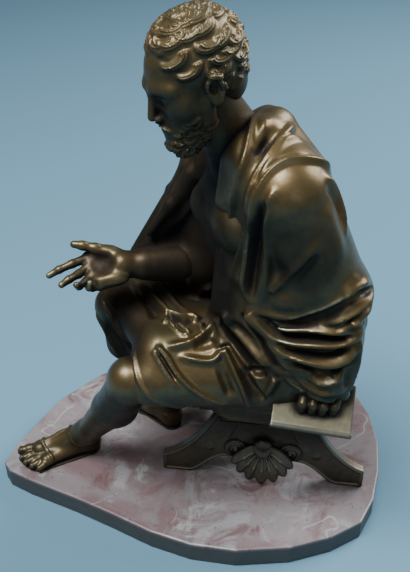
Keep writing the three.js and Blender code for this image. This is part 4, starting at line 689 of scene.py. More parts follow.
def marbleMaterial(name, look, top):  # top is the height of its upper face in its own frame
    material, wire = newMaterial(name)
    place = wire.node("TexCoord", output="Object")
    depth = top - wire.node("SeparateXYZ", {}, {0: place}, 2)
    broad = wire.noise(place, 21, 7, 0.62, 1.3).ramp(0.38, 0.60)
    patches = wire.noise(place, 34, 6, 0.6, 0.9).ramp(0.52, 0.64)
    cloudy = wire.noise(place, 70, 6, 0.6, 0.5).ramp(0.45, 0.7)
    streak = wire.noise(place, 11, 3, 0.5, 0.3)
    vein = 1 - ((streak - 0.5) * (streak - 0.5) * 26000).ramp(0.0, 0.8)
    broken = wire.noise(place, 24, 3).ramp(0.45, 0.6)
    rust = wire.noise(place, 30, 7, 0.62, 1.2).ramp(0.56, 0.69)
    white = wire.noise(place, 44, 6, 0.6, 0.5).ramp(0.60, 0.70)
    specks = wire.noise(place, 360, 3, 0.6).ramp(0.62, 0.74)
    sand = wire.noise(place, 900, 2, 0.6).ramp(0.35, 0.75)
    colour = broad.blend(look["rose"], look["pale"])
    colour = (patches * 0.8).blend(colour, look["cream"])
    colour = (cloudy * 0.35).blend(colour, look["grey"])
    colour = (rust * 0.75).blend(colour, look["rust"])
    colour = (white * 0.75).blend(colour, look["vein"])
    colour = (vein * broken * 0.7).blend(colour, look["vein"])
    under = depth.ramp(look["bevelDepth"], look["sideDepth"])
    colour = (depth.ramp(look["topDepth"], look["bevelDepth"]) * 0.7).blend(colour, look["bevel"])
    colour = (under * 0.85).blend(colour, look["side"])
    colour = (sand * 0.12).blend(colour, look["speck"])
    colour = (specks * 0.6).blend(colour, look["speck"])
    rough = specks * 0.2 + cloudy * 0.08 + under * 0.25 + look["roughness"]
    height = wire.noise(place, 160, 4)
    bump = wire.node("Bump", {}, {"Height": height, "Strength": 0.05, "Distance": 0.0004})
    shader = wire.node("BsdfPrincipled", {}, {
        "Base Color": colour, "Roughness": rough, "Normal": bump})
    finishMaterial(wire, shader)
    return material


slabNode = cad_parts["marble_slab"]
slabHeight = max(corner[2] for corner in slabNode.bound_box)
slabMarble = marbleMaterial("polishedRoseMarble", rosedMarble, slabHeight)
for slotOfMaterial in slabNode.material_slots:
    slotOfMaterial.material = slabMarble
print("materials made")

# The seated figure: where its joints lie, in mm. It faces -X, with its left side towards -Y.
slabTop = 16
seatTop = 84
joinGap = 0.3  # left free between the figure, the stool and the slab
seat = {"left": 6, "right": 94, "near": -30, "far": 43, "low": 76}
joint = {
    "pelvis": vec(62, -8, 128),
    "waist": vec(57, -10, 165),
    "chest": vec(44, -17, 222),
    "neck": vec(26, -24, 272),
    "leftShoulder": vec(57, -54, 256),
    "leftElbow": vec(88, -50, 193),
    "leftWrist": vec(88, -62, 141),
    "rightShoulder": vec(6, 18, 247),
    "rightElbow": vec(6, 2, 175),
    "rightWrist": vec(-43, -19, 182),
    "leftHip": vec(64, -31, 126),
    "leftKnee": vec(-32, -60, 124),
    "leftAnkle": vec(-76, -24, 40),
    "rightHip": vec(53, 17, 126),
    "rightKnee": vec(-52.5, -2, 138),
    "rightAnkle": vec(-22, 18, 42),
}

# The bare parts: chest, neck, forearm, hands, lower legs and feet
bareLook = {
    "fingerRadius": 2.85,
    "fingers": [  # fillet, root, spread, (length, rise) of each bone, thickness
        (1.6, (19, -7, 0), 24, ((13, 6), (9, 0), (7, -12)), 1.0),
        (1.6, (19, -2, -1), 42, ((11, 8), (8, 22), (6, 10)), 1.0),
        (1.6, (18, 4, -1), 55, ((9, 10), (7, 35), (5.5, 70)), 0.96),
        (1.6, (14, 9.5, -1), 52, ((7.5, 10), (5.5, 60), (4.5, 110)), 0.88),
        (2.6, (7, -8, 3), -10, ((9.5, 17), (8, 12), (5.5, 4)), 1.12),
    ],
    "footScale": 0.86,
    "toes": [  # root, length, turn, radius
        ((53, 8), 12, 4, 4.0), ((54, 1.6), 12, -2, 3.0), ((53, -3.4), 10.5, -8, 2.9),
        ((50.5, -8), 9, -14, 2.7), ((47, -12), 7.5, -20, 2.6),
    ],
    "nailHeight": 0.75,
    "soleThickness": 2.2,
    "strapWidth": 1.7,
    "strapHeight": 0.9,
    "step": 0.65,  # of the grid that the piece is skinned on, in mm
    "triangles": 190000,
}
skin = Clay()
onChest = Space(vec(40, -22, 224), vec(-0.84, -0.55, -0.12), vec(0, 0, 1))
skin.put(0, egg(onChest(0, 0, 0), (32, 40, 50), onChest.turn))
skin.put(6, limb(joint["pelvis"], joint["waist"], 34, 31))
skin.put(6, *pair(lambda s: egg(onChest(22, s * 15, 8), (11, 15, 13), onChest.turn)))
skin.put(5, limb(joint["neck"], vec(12, -38, 300), 17, 15))
skin.put(7, *pair(lambda s: limb(onChest(18, s * 3, 38), onChest(4, s * 30, 44), 3.5, 5)))

# the right forearm and its open hand, palm up
onPalm = Space(joint["rightWrist"], vec(-0.97, -0.2, -0.02), vec(0, -0.5, 0.87))
skin.put(0, limb(joint["rightElbow"], joint["rightWrist"], 13, 8))
skin.put(5, limb(mix(joint["rightElbow"], joint["rightWrist"], 0.3),
                 mix(joint["rightElbow"], joint["rightWrist"], 0.7), 12.5, 9.5))
skin.put(4, limb(joint["rightWrist"], onPalm(5, 2, 0), 7.8, 6.5))


def finger(on, root, spread, bones, radius):  # bones are (length, rise), from the root on
    links = [(on(*root), radius * 1.08)]
    at = list(root)
    way = math.radians(spread)
    for i, (length, rise) in enumerate(bones):
        lift = math.radians(rise)
        at = [at[0] + length * math.cos(lift) * math.cos(way),
              at[1] + length * math.cos(lift) * math.sin(way),
              at[2] + length * math.sin(lift)]
        links.append((on(*at), radius * (1 - 0.09 * (i + 1))))
    return chain(links)


skin.put(5, web(onPalm(3, -3, 0), onPalm(21, -7, -1), onPalm(15, 11, -1), 4.2))
skin.put(4, web(onPalm(3, 8, 0), onPalm(3, -3, 0), onPalm(14, 12, -1), 4.2))
skin.put(3, egg(onPalm(9, -7, 3), (9, 5, 4.6), onPalm.turn),
         egg(onPalm(6, 10.5, 1), (10, 4.4, 4.6), onPalm.turn))
skin.cut(4, egg(onPalm(13, 2, 7), (7.5, 6.5, 4.2), onPalm.turn))
for fillet, root, spreadAngle, bones, thickness in bareLook["fingers"]:
    radius = bareLook["fingerRadius"] * thickness
    skin.put(fillet, *finger(onPalm, root, spreadAngle, bones, radius))

# the left hand, closed over a sheet
onSheet = Space(vec(80, -75, 108), vec(1, 0, -0.09), vec(0.06, -0.68, 0.73))
sheetLook = {
    "halfLength": 24, "width": 31, "halfThickness": 0.9,
    "lipReach": 23.4, "lipRadius": 1.35,  # the raised lower edge
    "step": 0.45, "triangles": 20000,
}
skin.put(0, limb(joint["leftElbow"], joint["leftWrist"], 13, 8))
skin.put(3, web(onSheet(-4, 23, 7), onSheet(12, 23, 6.5), vec(86, -60, 146), 5))
for i in range(4):
    a = -7.2 + 6.3 * i
    short = 1.2 if i == 3 else 0
    skin.put(0.8, *chain([(onSheet(a + 0.6, 21.5, 8), 3.3), (onSheet(a, 15.2 + short, 8.4), 3.1),
                          (onSheet(a - 0.2, 12.6 + short, 3.4), 2.8)]))


# the feet on their sandals: a frame starts under the heel and runs along the sole
def foot(heel, way, inner, ankle):
    k = bareLook["footScale"]
    sole = bareLook["soleThickness"]
    on = Space(vec(heel[0], heel[1], slabTop), way, vec(0, 0, 1), k)

    def at(a, b, c):
        return on(a, b * inner, c + sole)

    skin.put(2, egg(at(8, 0, 9), (9 * k, 8 * k, 10 * k), on.turn))
    skin.put(5, limb(ankle, at(9, 0, 9), 8, 8 * k))
    skin.put(6, limb(ankle, at(29, 3, 11.5), 8, 7.4 * k),
             limb(at(29, 3, 11.5), at(50, 4, 6), 7.4 * k, 6.2 * k))
    skin.put(5, limb(at(8, -1, 6), at(47, -8.5, 4.6), 6.5 * k, 5 * k),
             limb(at(8, 1, 8), at(49, 7.5, 5.2), 6.5 * k, 5.6 * k))
    skin.put(3, egg(mix(ankle, at(10, 9, 24), 0.7), (3.4, 2.8, 4), on.turn),
             egg(mix(ankle, at(10, -9, 21), 0.7), (3.2, 2.8, 3.8), on.turn))
    for (a, b), length, turn, r in bareLook["toes"]:
        c, s = math.cos(math.radians(turn)), math.sin(math.radians(turn))
        reach = [(a + length * t * c, b + length * t * s) for t in (-0.5, 0.45, 1)]
        skin.put(1.4, *chain([(at(*reach[0], r + 1.6), k * r * 1.05),
                              (at(*reach[1], r + 1.3), k * r), (at(*reach[2], r), k * r * 0.98)]))
        nail = at(a + length * 1.02 * c, b + length * 1.02 * s, r * 1.86)
        skin.put(0.3, egg(nail, (r * 0.5, r * 0.62, bareLook["nailHeight"]), on.turn))
    skin.put(0.4, plate(on, (8, 0), (51, -inner), 8.8, 13.4, -2, sole))
    skin.put(0.4, plate(on, (40, inner), (57, 4 * inner), 12, 10.6, -2, sole))
    return [  # the paths of its straps
        [at(42, 14, 4), at(46, 9, 12), at(47, 2, 13), at(45, -6, 12), at(41, -13, 5)],
        [at(51, 4, 10), at(40, 4, 14), at(28, 3, 20), at(20, 2, 26)],
        [at(2, 10, 14), at(14, 10, 18), at(22, 3, 25), at(14, -9, 18), at(2, -9, 14)],
    ]


def bareLeg(hip, knee, ankle, back):
    def along(t, out):
        return mix(knee, ankle, t) + out * back

    skin.put(3, limb(mix(hip, knee, 0.7), knee, 17, 13.5))
    skin.put(6, limb(knee, along(0.5, 1), 13.5, 10.5), limb(along(0.5, 1), ankle, 10.5, 7.6))
    skin.put(8, limb(along(0.3, 8), along(0.55, 9.5), 11.5, 11.5),
             limb(along(0.55, 9.5), along(0.92, 4), 11.5, 6.2))
    skin.put(4, egg(knee + vec(-3, -1, 1), (10, 10.5, 12)))
    skin.put(3, limb(along(0.14, -7), along(0.75, -3), 4.5, 3.6))


leftWay = vec(-0.9, -0.436, 0)
rightWay = vec(-0.777, 0.63, 0)
bareLeg(joint["leftHip"], joint["leftKnee"], joint["leftAnkle"], -leftWay)
bareLeg(joint["rightHip"], joint["rightKnee"], joint["rightAnkle"], -rightWay)
straps = foot((-71, -14), leftWay, -1, joint["leftAnkle"])
straps += foot((-16, 12), rightWay, 1, joint["rightAnkle"])
bareSkin = Clay(skin.strokes)
for strap in straps:
    skin.put(0, Fold(bareSkin, strap, bareLook["strapWidth"], bareLook["strapHeight"],
                     sharp=0, ends=(0.04, 0.04), span=2))

# The head, drawn upright in its own frame for a head 60 high, from the middle of the skull. The
# locks of hair and beard lie in rows that run down from the crown. A row gives how high it lies
# on the round of the head and how many locks it has, and from where to where it runs, in degrees
# from the middle of the face; then how long, how wide and how high each lock is.
headLook = {
    "centre": vec(5.5, -42, 315.5), "turn": 32, "bow": 22, "size": 1.0,
    "capMiddle": (-4.5, 0, 6.5), "capRadii": (26, 21.5, 23.2),
    "hairRows": [
        (88, 5, -180, 180, 12, 4.2, 2.0),
        (70, 10, -180, 180, 13, 4.2, 2.2),
        (54, 15, -180, 180, 12, 4.1, 2.2),
        (34, 12, 58, 302, 13, 4, 2.3),
        (44, 5, -50, 50, 7, 3.4, 1.5),
        (16, 13, 66, 294, 12, 3.9, 2.3),
        (-2, 11, 76, 284, 11, 3.8, 2.2),
        (-20, 9, 100, 260, 10, 3.6, 2.1),
        (-38, 6, 118, 242, 9, 3.4, 1.8),
    ],
    "beardMiddle": (11, 0, -23), "beardRadii": (16, 15, 16),
    "beardRows": [
        (38, 2, 84, 104, 6, 2.3, 1.3),
        (38, 2, -104, -84, 6, 2.3, 1.3),
        (22, 4, 66, 108, 6, 2.4, 1.4),
        (22, 4, -108, -66, 6, 2.4, 1.4),
        (6, 6, 44, 108, 6, 2.5, 1.6),
        (6, 6, -108, -44, 6, 2.5, 1.6),
        (-10, 7, 30, 108, 6, 2.5, 1.8),
        (-10, 7, -108, -30, 6, 2.5, 1.8),
        (-24, 16, -108, 108, 6, 2.5, 2.0),
        (-40, 14, -108, 108, 6, 2.6, 2.1),
        (-56, 11, -110, 110, 6, 2.6, 2.1),
        (-76, 7, -140, 140, 6, 2.6, 2.0),
    ],
    "seed": 11,
    "step": 0.5, "triangles": 190000,
}
turnAngle = math.radians(headLook["turn"])
bowAngle = math.radians(headLook["bow"])
faceWay = vec(-math.cos(turnAngle) * math.cos(bowAngle),
              -math.sin(turnAngle) * math.cos(bowAngle), -math.sin(bowAngle))
onHead = Space(headLook["centre"], faceWay, vec(0, 0, 1), headLook["size"])
headClay = Clay()


def sized(a, b, c):
    return vec(a, b, c) * headLook["size"]


def headEgg(a, b, c, ra, rb, rc):
    return egg(onHead(a, b, c), sized(ra, rb, rc), onHead.turn)


# the cap that the hair lies on, cut back at the brow and the temples, and the mass of the beard
headClay.put(0, headEgg(*headLook["capMiddle"], *headLook["capRadii"]))
headClay.put(3, headEgg(-13, 0, -9, 14, 15, 17))
headClay.cut(3, headEgg(20, 0, 3, 15, 22, 18.5))
headClay.cut(2, *pair(lambda s: headEgg(14, s * 21, -9, 13, 9, 12)))
headClay.put(6, headEgg(10, 0, -22, 15, 15, 13))
headClay.put(4, headEgg(17.5, 0, -30, 9.5, 10.5, 9.5))
headClay.put(3, *pair(lambda s: limb(onHead(1.5, s * 18, -5), onHead(6, s * 13.5, -20), 2.6, 5)))

# the skull and the face
headClay.put(0.8, headEgg(-3, 0, 5, 26, 20.5, 22.5))
headClay.put(6, headEgg(9, 0, -8, 15, 16.5, 22))
headClay.put(6, headEgg(10, 0, -21, 12.5, 12, 10))
headClay.put(4, *pair(lambda s: limb(onHead(22, s * 4, 3.5), onHead(17, s * 13, 2.5), 3.4, 3)))
headClay.put(7, *pair(lambda s: headEgg(14.5, s * 11.5, -8.5, 6, 6, 6.5)))
headClay.cut(3, *pair(lambda s: headEgg(26.5, s * 8, -2.5, 6, 5.2, 3.6)))
headClay.put(1.2, *pair(lambda s: headEgg(17.6, s * 8, -3, 4.6, 4.8, 4.4)))
headClay.put(1.4, *pair(lambda s: limb(onHead(21.6, s * 4.6, -1.6),
                                       onHead(19.6, s * 11.8, -1.8), 1.2, 1.1)))
headClay.put(3, limb(onHead(23.5, 0, 0.5), onHead(28.5, 0, -11), 1.9, 2.4))
headClay.put(2, *pair(lambda s: headEgg(25.4, s * 2.8, -12.6, 2.6, 1.7, 1.7)))
headClay.put(3, limb(onHead(22, 0, -17.5), onHead(21.4, 0, -24), 4, 4))
headClay.put(1, limb(onHead(25, -3.8, -18.8), onHead(25, 3.8, -18.8), 1.3))
headClay.put(1, limb(onHead(24.6, -3, -22), onHead(24.6, 3, -22), 1.5))
headClay.cut(0.8, limb(onHead(27, -4.8, -20.3), onHead(27, 4.8, -20.3), 0.9))
for s in (1, -1):
    rim = curveThrough([onHead(2.4, s * 20.6, -3), onHead(0.6, s * 21.6, 1.4),
                        onHead(-3.4, s * 22.2, 1.2), onHead(-5.4, s * 22, -3.6),
                        onHead(-3.8, s * 21.2, -8.4), onHead(-0.6, s * 20.4, -12)], 12)
    headClay.put(1.5, headEgg(-1, s * 20, -5, 4, 2, 6.6))
    headClay.put(0.8, *chain([(place, 1.15) for place in rim]))
    headClay.put(1, headEgg(-0.6, s * 20.4, -10.6, 2.8, 1.8, 2.9))
    headClay.cut(0.8, headEgg(-0.6, s * 22, -3.6, 2.4, 1.5, 3.4))
bareHead = Clay(headClay.strokes)
seed = headLook["seed"]


def chance():  # the next of a fixed row of random numbers from 0 to 1
    global seed
    seed = (seed * 16807) % 2147483647
    return seed / 2147483647


def lock(middle, radii, bearing, high, length, curl, width, height):
    way = math.radians(bearing)
    up = math.radians(high)
    points = []
    for i in range(5):
        t = i / 4
        swing = curl * (t * 3 - 0.7)
        w = way + length / radii[1] * t * math.sin(swing) / max(math.cos(up), 0.35)
        u = up - length / radii[2] * t * math.cos(swing * 0.8)
        at = (math.cos(u) * math.cos(w), math.cos(u) * math.sin(w), math.sin(u))
        points.append(onHead(*[middle[axis] + radii[axis] * at[axis] for axis in range(3)]))
    return Fold(bareHead, points, width, height,
                sharp=0.15, ends=(0.1, 0.3), taper=0.5, strands=2.5, span=1.6)


def locksIn(rows, middle, radii):
    locks = []
    for high, count, first, last, length, width, height in rows:
        for i in range(count):
            bearing = first + (last - first) * (i + 0.5) / count + 6 * (chance() - 0.5)
            curl = (1 if chance() > 0.5 else -1) * (0.7 + 0.5 * chance())
            rise = high + 6 * (chance() - 0.5)
            locks.append(lock(middle, radii, bearing, rise, length, curl, width, height))
    return locks


def moustacheHalf(s):
    points = [onHead(27, s * 0.6, -16), onHead(26, s * 4.5, -17.5), onHead(22, s * 9, -22)]
    return Fold(bareHead, points, 2, 1.7,
                sharp=0.3, ends=(0.1, 0.3), taper=0.3, strands=1.5, span=1.6)


hair = locksIn(headLook["hairRows"], headLook["capMiddle"], headLook["capRadii"])
beard = locksIn(headLook["beardRows"], headLook["beardMiddle"], headLook["beardRadii"])
headClay.put(0, Mane(hair + beard + pair(moustacheHalf)))
print("head modelled")

# The cloak: first its bulk
cloakLook = {"step": 0.85, "triangles": 190000}  # what it is laid from is listed below
cloak = Clay()
cloak.put(0, limb(joint["pelvis"], joint["waist"], 40, 36),
          limb(joint["waist"], mix(joint["chest"], vec(54, -10, 222), 0.8), 36, 33))
cloak.put(16, egg(vec(64, -2, 110), (42, 48, 34)))
cloak.put(8, limb(vec(54, -44, 254), vec(14, 16, 248), 22, 19))
cloak.put(8, limb(vec(47, -34, 277), vec(58, -46, 264), 11, 14))
cloak.put(8, limb(vec(50, -22, 276), vec(67, -32, 256), 11, 13))
cloak.put(8, limb(joint["leftShoulder"], joint["leftElbow"], 24, 19.5))
cloak.put(10, limb(joint["leftElbow"], joint["leftWrist"], 18, 13))
cloak.put(10, egg(vec(72, -42, 160), (36, 33, 32)))
cloak.put(8, limb(joint["leftHip"], joint["leftKnee"] + vec(14, 3, 1), 29, 18.5))
cloak.put(8, limb(joint["rightHip"], joint["rightKnee"], 29, 13))
cloak.put(6, limb(vec(-50.5, -1, 138), vec(-47, 0, 108), 13.5, 15.5),
          web(vec(-50, 0, 130), vec(-47, 2, 109), vec(10, 22, 112), 7))
cloak.put(6, web(vec(-49, -4, 134), vec(-42, -6, 107), vec(-10, -34, 116), 10))
cloak.put(8, limb(vec(-42, 5, 146), vec(4, 12, 150), 9, 11.5))
cloak.cut(1.5, egg(vec(-46, 2, 79), (40, 36, 23)))
cloak.put(8, web(vec(53, 4, 140), vec(-46, -2, 142), vec(-14, -48, 138), 13))
cloak.put(8, web(vec(53, 4, 140), vec(60, -34, 140), vec(-14, -48, 138), 16))
cloak.put(10, limb(vec(58, -45, 127), vec(81, -44, 128), 21.5, 18))
cloak.put(8, limb(vec(30, -28, 160), vec(62, -34, 168), 17, 30))
cloak.put(8, web(vec(38, -55, 205), vec(76, -62, 206), vec(60, -60, 180), 8))
cloak.put(3, web(onSheet(-7, 25, 9.5), onSheet(15, 25, 8.5), vec(88, -58, 148), 5))
# over the seat and its edges
cloak.put(12, *chain([(vec(24, -38, 97), 12), (vec(90, -40, 96), 12), (vec(95, 0, 98), 10),
                      (vec(89, 42, 97), 10), (vec(22, 42, 98), 11)]))
cloak.put(6, limb(vec(30, -43, 92), vec(90, -44, 91), 7.5))
# the broad edge that falls from the left shoulder across the chest
cloak.put(5, web(vec(38, -52, 268), vec(27, -43, 268), vec(23, -42, 174), 6.5))
cloak.put(5, web(vec(38, -52, 268), vec(50, -60, 256), vec(46, -57, 174), 7))
cloak.put(5, web(vec(38, -52, 268), vec(23, -42, 174), vec(46, -57, 174), 6.5))
cloak.put(6, web(vec(33, -44, 278), vec(25, -46, 246), vec(40, -60, 262), 6))
# the cape over the right arm
cloak.put(8, limb(joint["rightShoulder"], joint["rightElbow"], 16, 15))
cloak.put(6, limb(joint["rightElbow"], vec(-18, -4, 178), 15, 13))
cloak.put(6, web(vec(2, 12, 246), vec(-36, 2, 178), vec(14, 14, 168), 6))
cloak.put(6, web(vec(2, 12, 246), vec(12, -4, 250), vec(-36, 2, 178), 4))
cloak.put(6, web(vec(20, 20, 240), vec(14, 14, 168), vec(50, 26, 190), 10))
# the collar roll round the back of the neck
cloak.put(6, *chain([(vec(33, -47, 273), 7.5), (vec(42, -37, 281), 8), (vec(47, -22, 280), 8.5),
                     (vec(43, -2, 274), 8), (vec(26, 10, 265), 7.5), (vec(12, 4, 256), 5),
                     (vec(-1, -3, 240), 3.4), (vec(-14, -5, 219), 2.8), (vec(-27, -8, 200), 2.4)]))
bulk = Clay(cloak.strokes)


def fold(halfWidth, height, points, **how):
    cloak.put(0, Fold(bulk, points, halfWidth, height, **how))


def undercut(halfWidth, depth, points):
    cloak.cut(1.6, rollOn(bulk, points, halfWidth, depth))


def spread(halfWidth, height, count, first, last, **how):
    for i in range(count):
        t = i / (count - 1)
        path = [mix(np.array(p, float), np.array(q, float), t) for p, q in zip(first, last)]
        fold(halfWidth, height, path, **how)


# the collar round the nape, and the broad edge that falls from it to the lap
fold(3, 1.6, [(41, -12, 287), (36, -43, 288), (34, -58, 275), (28, -56, 245), (23, -51, 216),
     (22, -48, 192)], ends=(0.1, 0.1))
fold(6, -2.2, [(48, -36, 290), (43, -49, 281), (38, -62, 272), (33, -62, 256), (29, -57, 235)],
     sharp=0.1)
fold(4, 1.4, [(43, -36, 291), (43, -47, 285), (39, -56, 279)], sharp=0.4)
fold(4.2, 3, [(56, -26, 284), (55, -39, 284), (47, -56, 279), (41, -64, 271), (37, -68, 255),
     (34, -61, 230), (27, -52, 184)], sharp=0.8, ends=(0.15, 0.1))
fold(3.6, 2.2, [(66, -38, 278), (58, -42, 282), (52, -52, 281), (45, -64, 275),
     (41, -68, 268)], sharp=0.8)
fold(2.6, -1.8, [(58, -34, 283), (53, -48, 282), (46, -61, 277), (39, -67, 266),
     (35, -64, 248), (28, -54, 195)])
fold(4.2, 3, [(80, -46, 266), (75, -52, 273), (66, -59, 278), (56, -63, 279), (46, -68, 273),
     (41, -72, 260), (38, -62, 223), (35, -61, 195)], sharp=0.8, ends=(0.15, 0.1))
fold(2.6, -2, [(70, -54, 277), (60, -58, 280), (51, -63, 279), (44, -68, 272), (39, -70, 262),
     (37, -63, 236), (34, -60, 205)])
fold(3.6, 2.6, [(45, -74, 260), (42, -73, 252), (39, -62, 235), (38, -62, 218),
     (37, -62, 188)], sharp=0.7, ends=(0.3, 0.1))
fold(4.6, -5, [(48, -75, 263), (45, -75, 256), (43, -65, 236), (42, -63, 220), (40, -64, 190)],
     sharp=0.3, ends=(0.3, 0.1))
fold(4, 2.2, [(53, -74, 270), (49, -75, 264), (48, -74, 248), (48, -67, 227), (48, -66, 190)],
     sharp=0.6, ends=(0.3, 0.1))
# over the shoulder, the upper arm and the elbow
fold(4, 2.4, [(74, -62, 272), (78, -58, 267), (83, -53, 256), (87, -57, 244), (90, -61, 233)],
     sharp=0.6)
fold(3.4, -1.6, [(74, -65, 268), (80, -60, 259), (84, -58, 247), (88, -60, 236)], sharp=0.4)
fold(7, 1.6, [(75, -69, 261), (80, -68, 249), (85, -67, 236), (90, -68, 222)], sharp=0.2)
fold(4.6, 2.6, [(78, -73, 244), (70, -75, 231), (61, -68, 214), (50, -66, 199)], sharp=0.8,
     ends=(0.35, 0.1))
fold(5, -1.8, [(76, -74, 233), (70, -75, 224), (62, -69, 208)], sharp=0.2)
fold(8, 2.4, [(50, -67, 195), (62, -68, 196), (72, -70, 199)], sharp=0)
fold(6, 1.5, [(98, -60, 216), (94, -67, 208), (88, -70, 204)], sharp=0.1)
# the lower edge of the sleeve, undercut, and the loops of cloth below it
fold(4, 1.8, [(106, -52, 204), (99, -64, 208), (91, -70, 204), (81, -71, 196), (61, -69, 186),
     (45, -65, 187), (39, -62, 187)], ends=(0.1, 0.15))
undercut(4, 5.5, [(107, -50, 199), (97, -65, 202), (89, -69, 197), (79, -70, 189),
         (60, -68, 180), (50, -66, 180)])
fold(3, 2.4, [(108, -52, 198), (103, -62, 197), (90, -71, 189), (82, -71, 185)], sharp=0.7)
fold(3, 2.2, [(107, -52, 190), (102, -65, 190), (93, -70, 183), (88, -71, 182)], sharp=0.7)
fold(2.4, -2, [(107, -54, 194), (102, -64, 193), (96, -69, 189), (88, -71, 185)], sharp=0.6)
fold(3, 2.4, [(104, -60, 183), (99, -67, 186), (94, -70, 189)], sharp=0.6)
fold(4.5, 3.2, [(46, -64, 180), (58, -69, 179), (80, -71, 181), (99, -67, 179),
     (105, -56, 180)], sharp=0.6)
fold(5, 4.6, [(37, -60, 186), (46, -66, 179), (59, -71, 172), (79, -73, 173), (97, -69, 174),
     (103, -60, 178)], sharp=0.7, ends=(0.1, 0.15))
fold(4, -4.4, [(44, -66, 184), (57, -70, 176), (79, -72, 177), (91, -71, 177),
     (101, -62, 179)], sharp=0.3)
fold(4.4, -4.6, [(48, -67, 172), (61, -72, 168), (82, -75, 167), (92, -72, 169),
     (101, -62, 173)], sharp=0.3)
fold(5, 4.6, [(49, -68, 171), (62, -73, 166), (78, -75, 162), (92, -74, 161), (103, -62, 168)],
     sharp=0.7, ends=(0.15, 0.2))
fold(4.4, -4.6, [(56, -71, 163), (71, -75, 158), (88, -75, 155), (95, -71, 158),
     (102, -60, 162)], sharp=0.3)
fold(3.6, 3, [(72, -74, 151), (84, -75, 146), (90, -74, 148), (97, -70, 152)], sharp=0.7)
fold(3, -2.6, [(76, -74, 154), (84, -75, 151), (92, -74, 152)], sharp=0.4)
fold(5, 2.6, [(103, -62, 174), (103, -64, 160), (103, -63, 148), (100, -65, 130)],
     sharp=0.4, ends=(0.2, 0.1))
fold(4, -2.6, [(97, -69, 158), (98, -69, 147), (98, -69, 138)], sharp=0.3)
fold(5, 2.8, [(104, -40, 176), (106, -34, 158), (106, -32, 138), (104, -28, 98)],
     ends=(0.2, 0.1))
# from the waist over the thigh
fold(4.6, 4.8, [(24, -54, 178), (31, -49, 163), (45, -64, 158), (56, -70, 150)], sharp=0.7,
     ends=(0.1, 0.2))
fold(3.6, -5.4, [(33, -57, 180), (43, -64, 171), (53, -70, 159), (63, -72, 149)],
     sharp=0.2, ends=(0.15, 0.2))
fold(6.5, 3.6, [(38, -62, 185), (46, -66, 178), (59, -72, 164), (70, -74, 150)], sharp=0.3,
     ends=(0.1, 0.3))
fold(3.4, -4, [(23, -50, 172), (26, -45, 162), (38, -56, 150), (51, -66, 143)], sharp=0.3,
     ends=(0.15, 0.2))
fold(4.4, 3.6, [(22, -49, 170), (23, -44, 160), (35, -55, 148), (46, -66, 138)],
     ends=(0.15, 0.3))
fold(6, 3.4, [(21, -48, 170), (22, -46, 157), (23, -51, 153), (25, -55, 150)], sharp=0.4,
     ends=(0.2, 0.1))
fold(4, 3.6, [(-4, -61, 147), (8, -61, 145), (20, -60, 144), (25, -54, 151)], sharp=0.8,
     ends=(0.35, 0.05))
fold(5.5, -2.4, [(4, -54, 150), (15, -52, 150), (19, -49, 153)], sharp=0.1)
fold(4, 4.2, [(24, -53, 152), (31, -61, 142), (39, -66, 128), (43, -67, 108)], sharp=0.8,
     ends=(0.05, 0.1))
fold(4.6, -3.6, [(22, -60, 144), (29, -67, 130), (32, -69, 120)], sharp=0.1)
fold(4.6, -4.6, [(36, -59, 143), (44, -67, 129), (53, -69, 119)], sharp=0.2, ends=(0.3, 0.2))
fold(4.4, -5, [(39, -62, 143), (44, -65, 141), (52, -67, 143)], sharp=0.2)
fold(4.4, 3.8, [(57, -69, 142), (56, -69, 137), (50, -70, 123)])
fold(3.4, 2.8, [(60, -71, 144), (72, -70, 137), (78, -69, 135)], sharp=0.6)
fold(3, 2.2, [(74, -68, 135), (87, -68, 131), (95, -68, 129)], ends=(0.2, 0.1))
fold(3.4, 2.6, [(66, -73, 146), (83, -71, 140), (92, -71, 140)])
# over the lap
fold(4.2, 3.4, [(21, -45, 166), (18, -41, 159), (7, -53, 152), (-13, -58, 149)],
     ends=(0.15, 0.2))
fold(4.6, 4.4, [(-24, 4, 157), (-16, -10, 154), (-3, -27, 154), (9, -38, 155)], sharp=0.7,
     ends=(0.2, 0.1))
fold(4, 3.6, [(-34, -7, 155), (-20, -21, 153), (-4, -33, 154), (4, -36, 155)], sharp=0.6,
     ends=(0.2, 0.15))
fold(4, -4.6, [(-17, -29, 153), (-3, -36, 155), (4, -39, 155)], sharp=0.2)
fold(3, 2.8, [(-12, -35, 153), (-6, -44, 154), (6, -53, 153)], sharp=0.6)
fold(2.6, 2.4, [(-7, -37, 154), (0, -45, 154), (6, -50, 154)], sharp=0.6)
fold(2.4, -3, [(-9, -37, 154), (-4, -45, 154), (2, -50, 154)], sharp=0.3)
fold(3.4, 3.4, [(8, -37, 155), (10, -43, 155), (9, -49, 154)])
fold(4.6, 3.6, [(-6, 10, 158), (0, -4, 157), (6, -14, 160), (18, -30, 164)])
fold(4, 3, [(-4, -18, 176), (0, -11, 166), (2, -2, 158)])
fold(4, -3, [(4, -10, 160), (9, -18, 161), (14, -28, 161)], sharp=0.3)
# the cuff of cloth above the left knee, and its hem
fold(3.2, 3, [(-16, -57, 150), (-9, -62, 147), (-2, -68, 139), (12, -71, 127), (37, -65, 108)],
     sharp=0.7, ends=(0.1, 0.15))
fold(2.6, 2, [(-18, -58, 149), (-11, -66, 144), (-4, -71, 134), (2, -72, 128)], sharp=0.7,
     ends=(0.15, 0.4))
fold(2.4, -2.4, [(-16, -58, 149), (-9, -66, 143), (0, -71, 133)], sharp=0.4)
fold(2.6, 1.6, [(-28, -50, 143), (-27, -66, 138), (-19, -75, 127), (-4, -74, 112),
     (6, -72, 107)], sharp=0.4, ends=(0.1, 0.1))
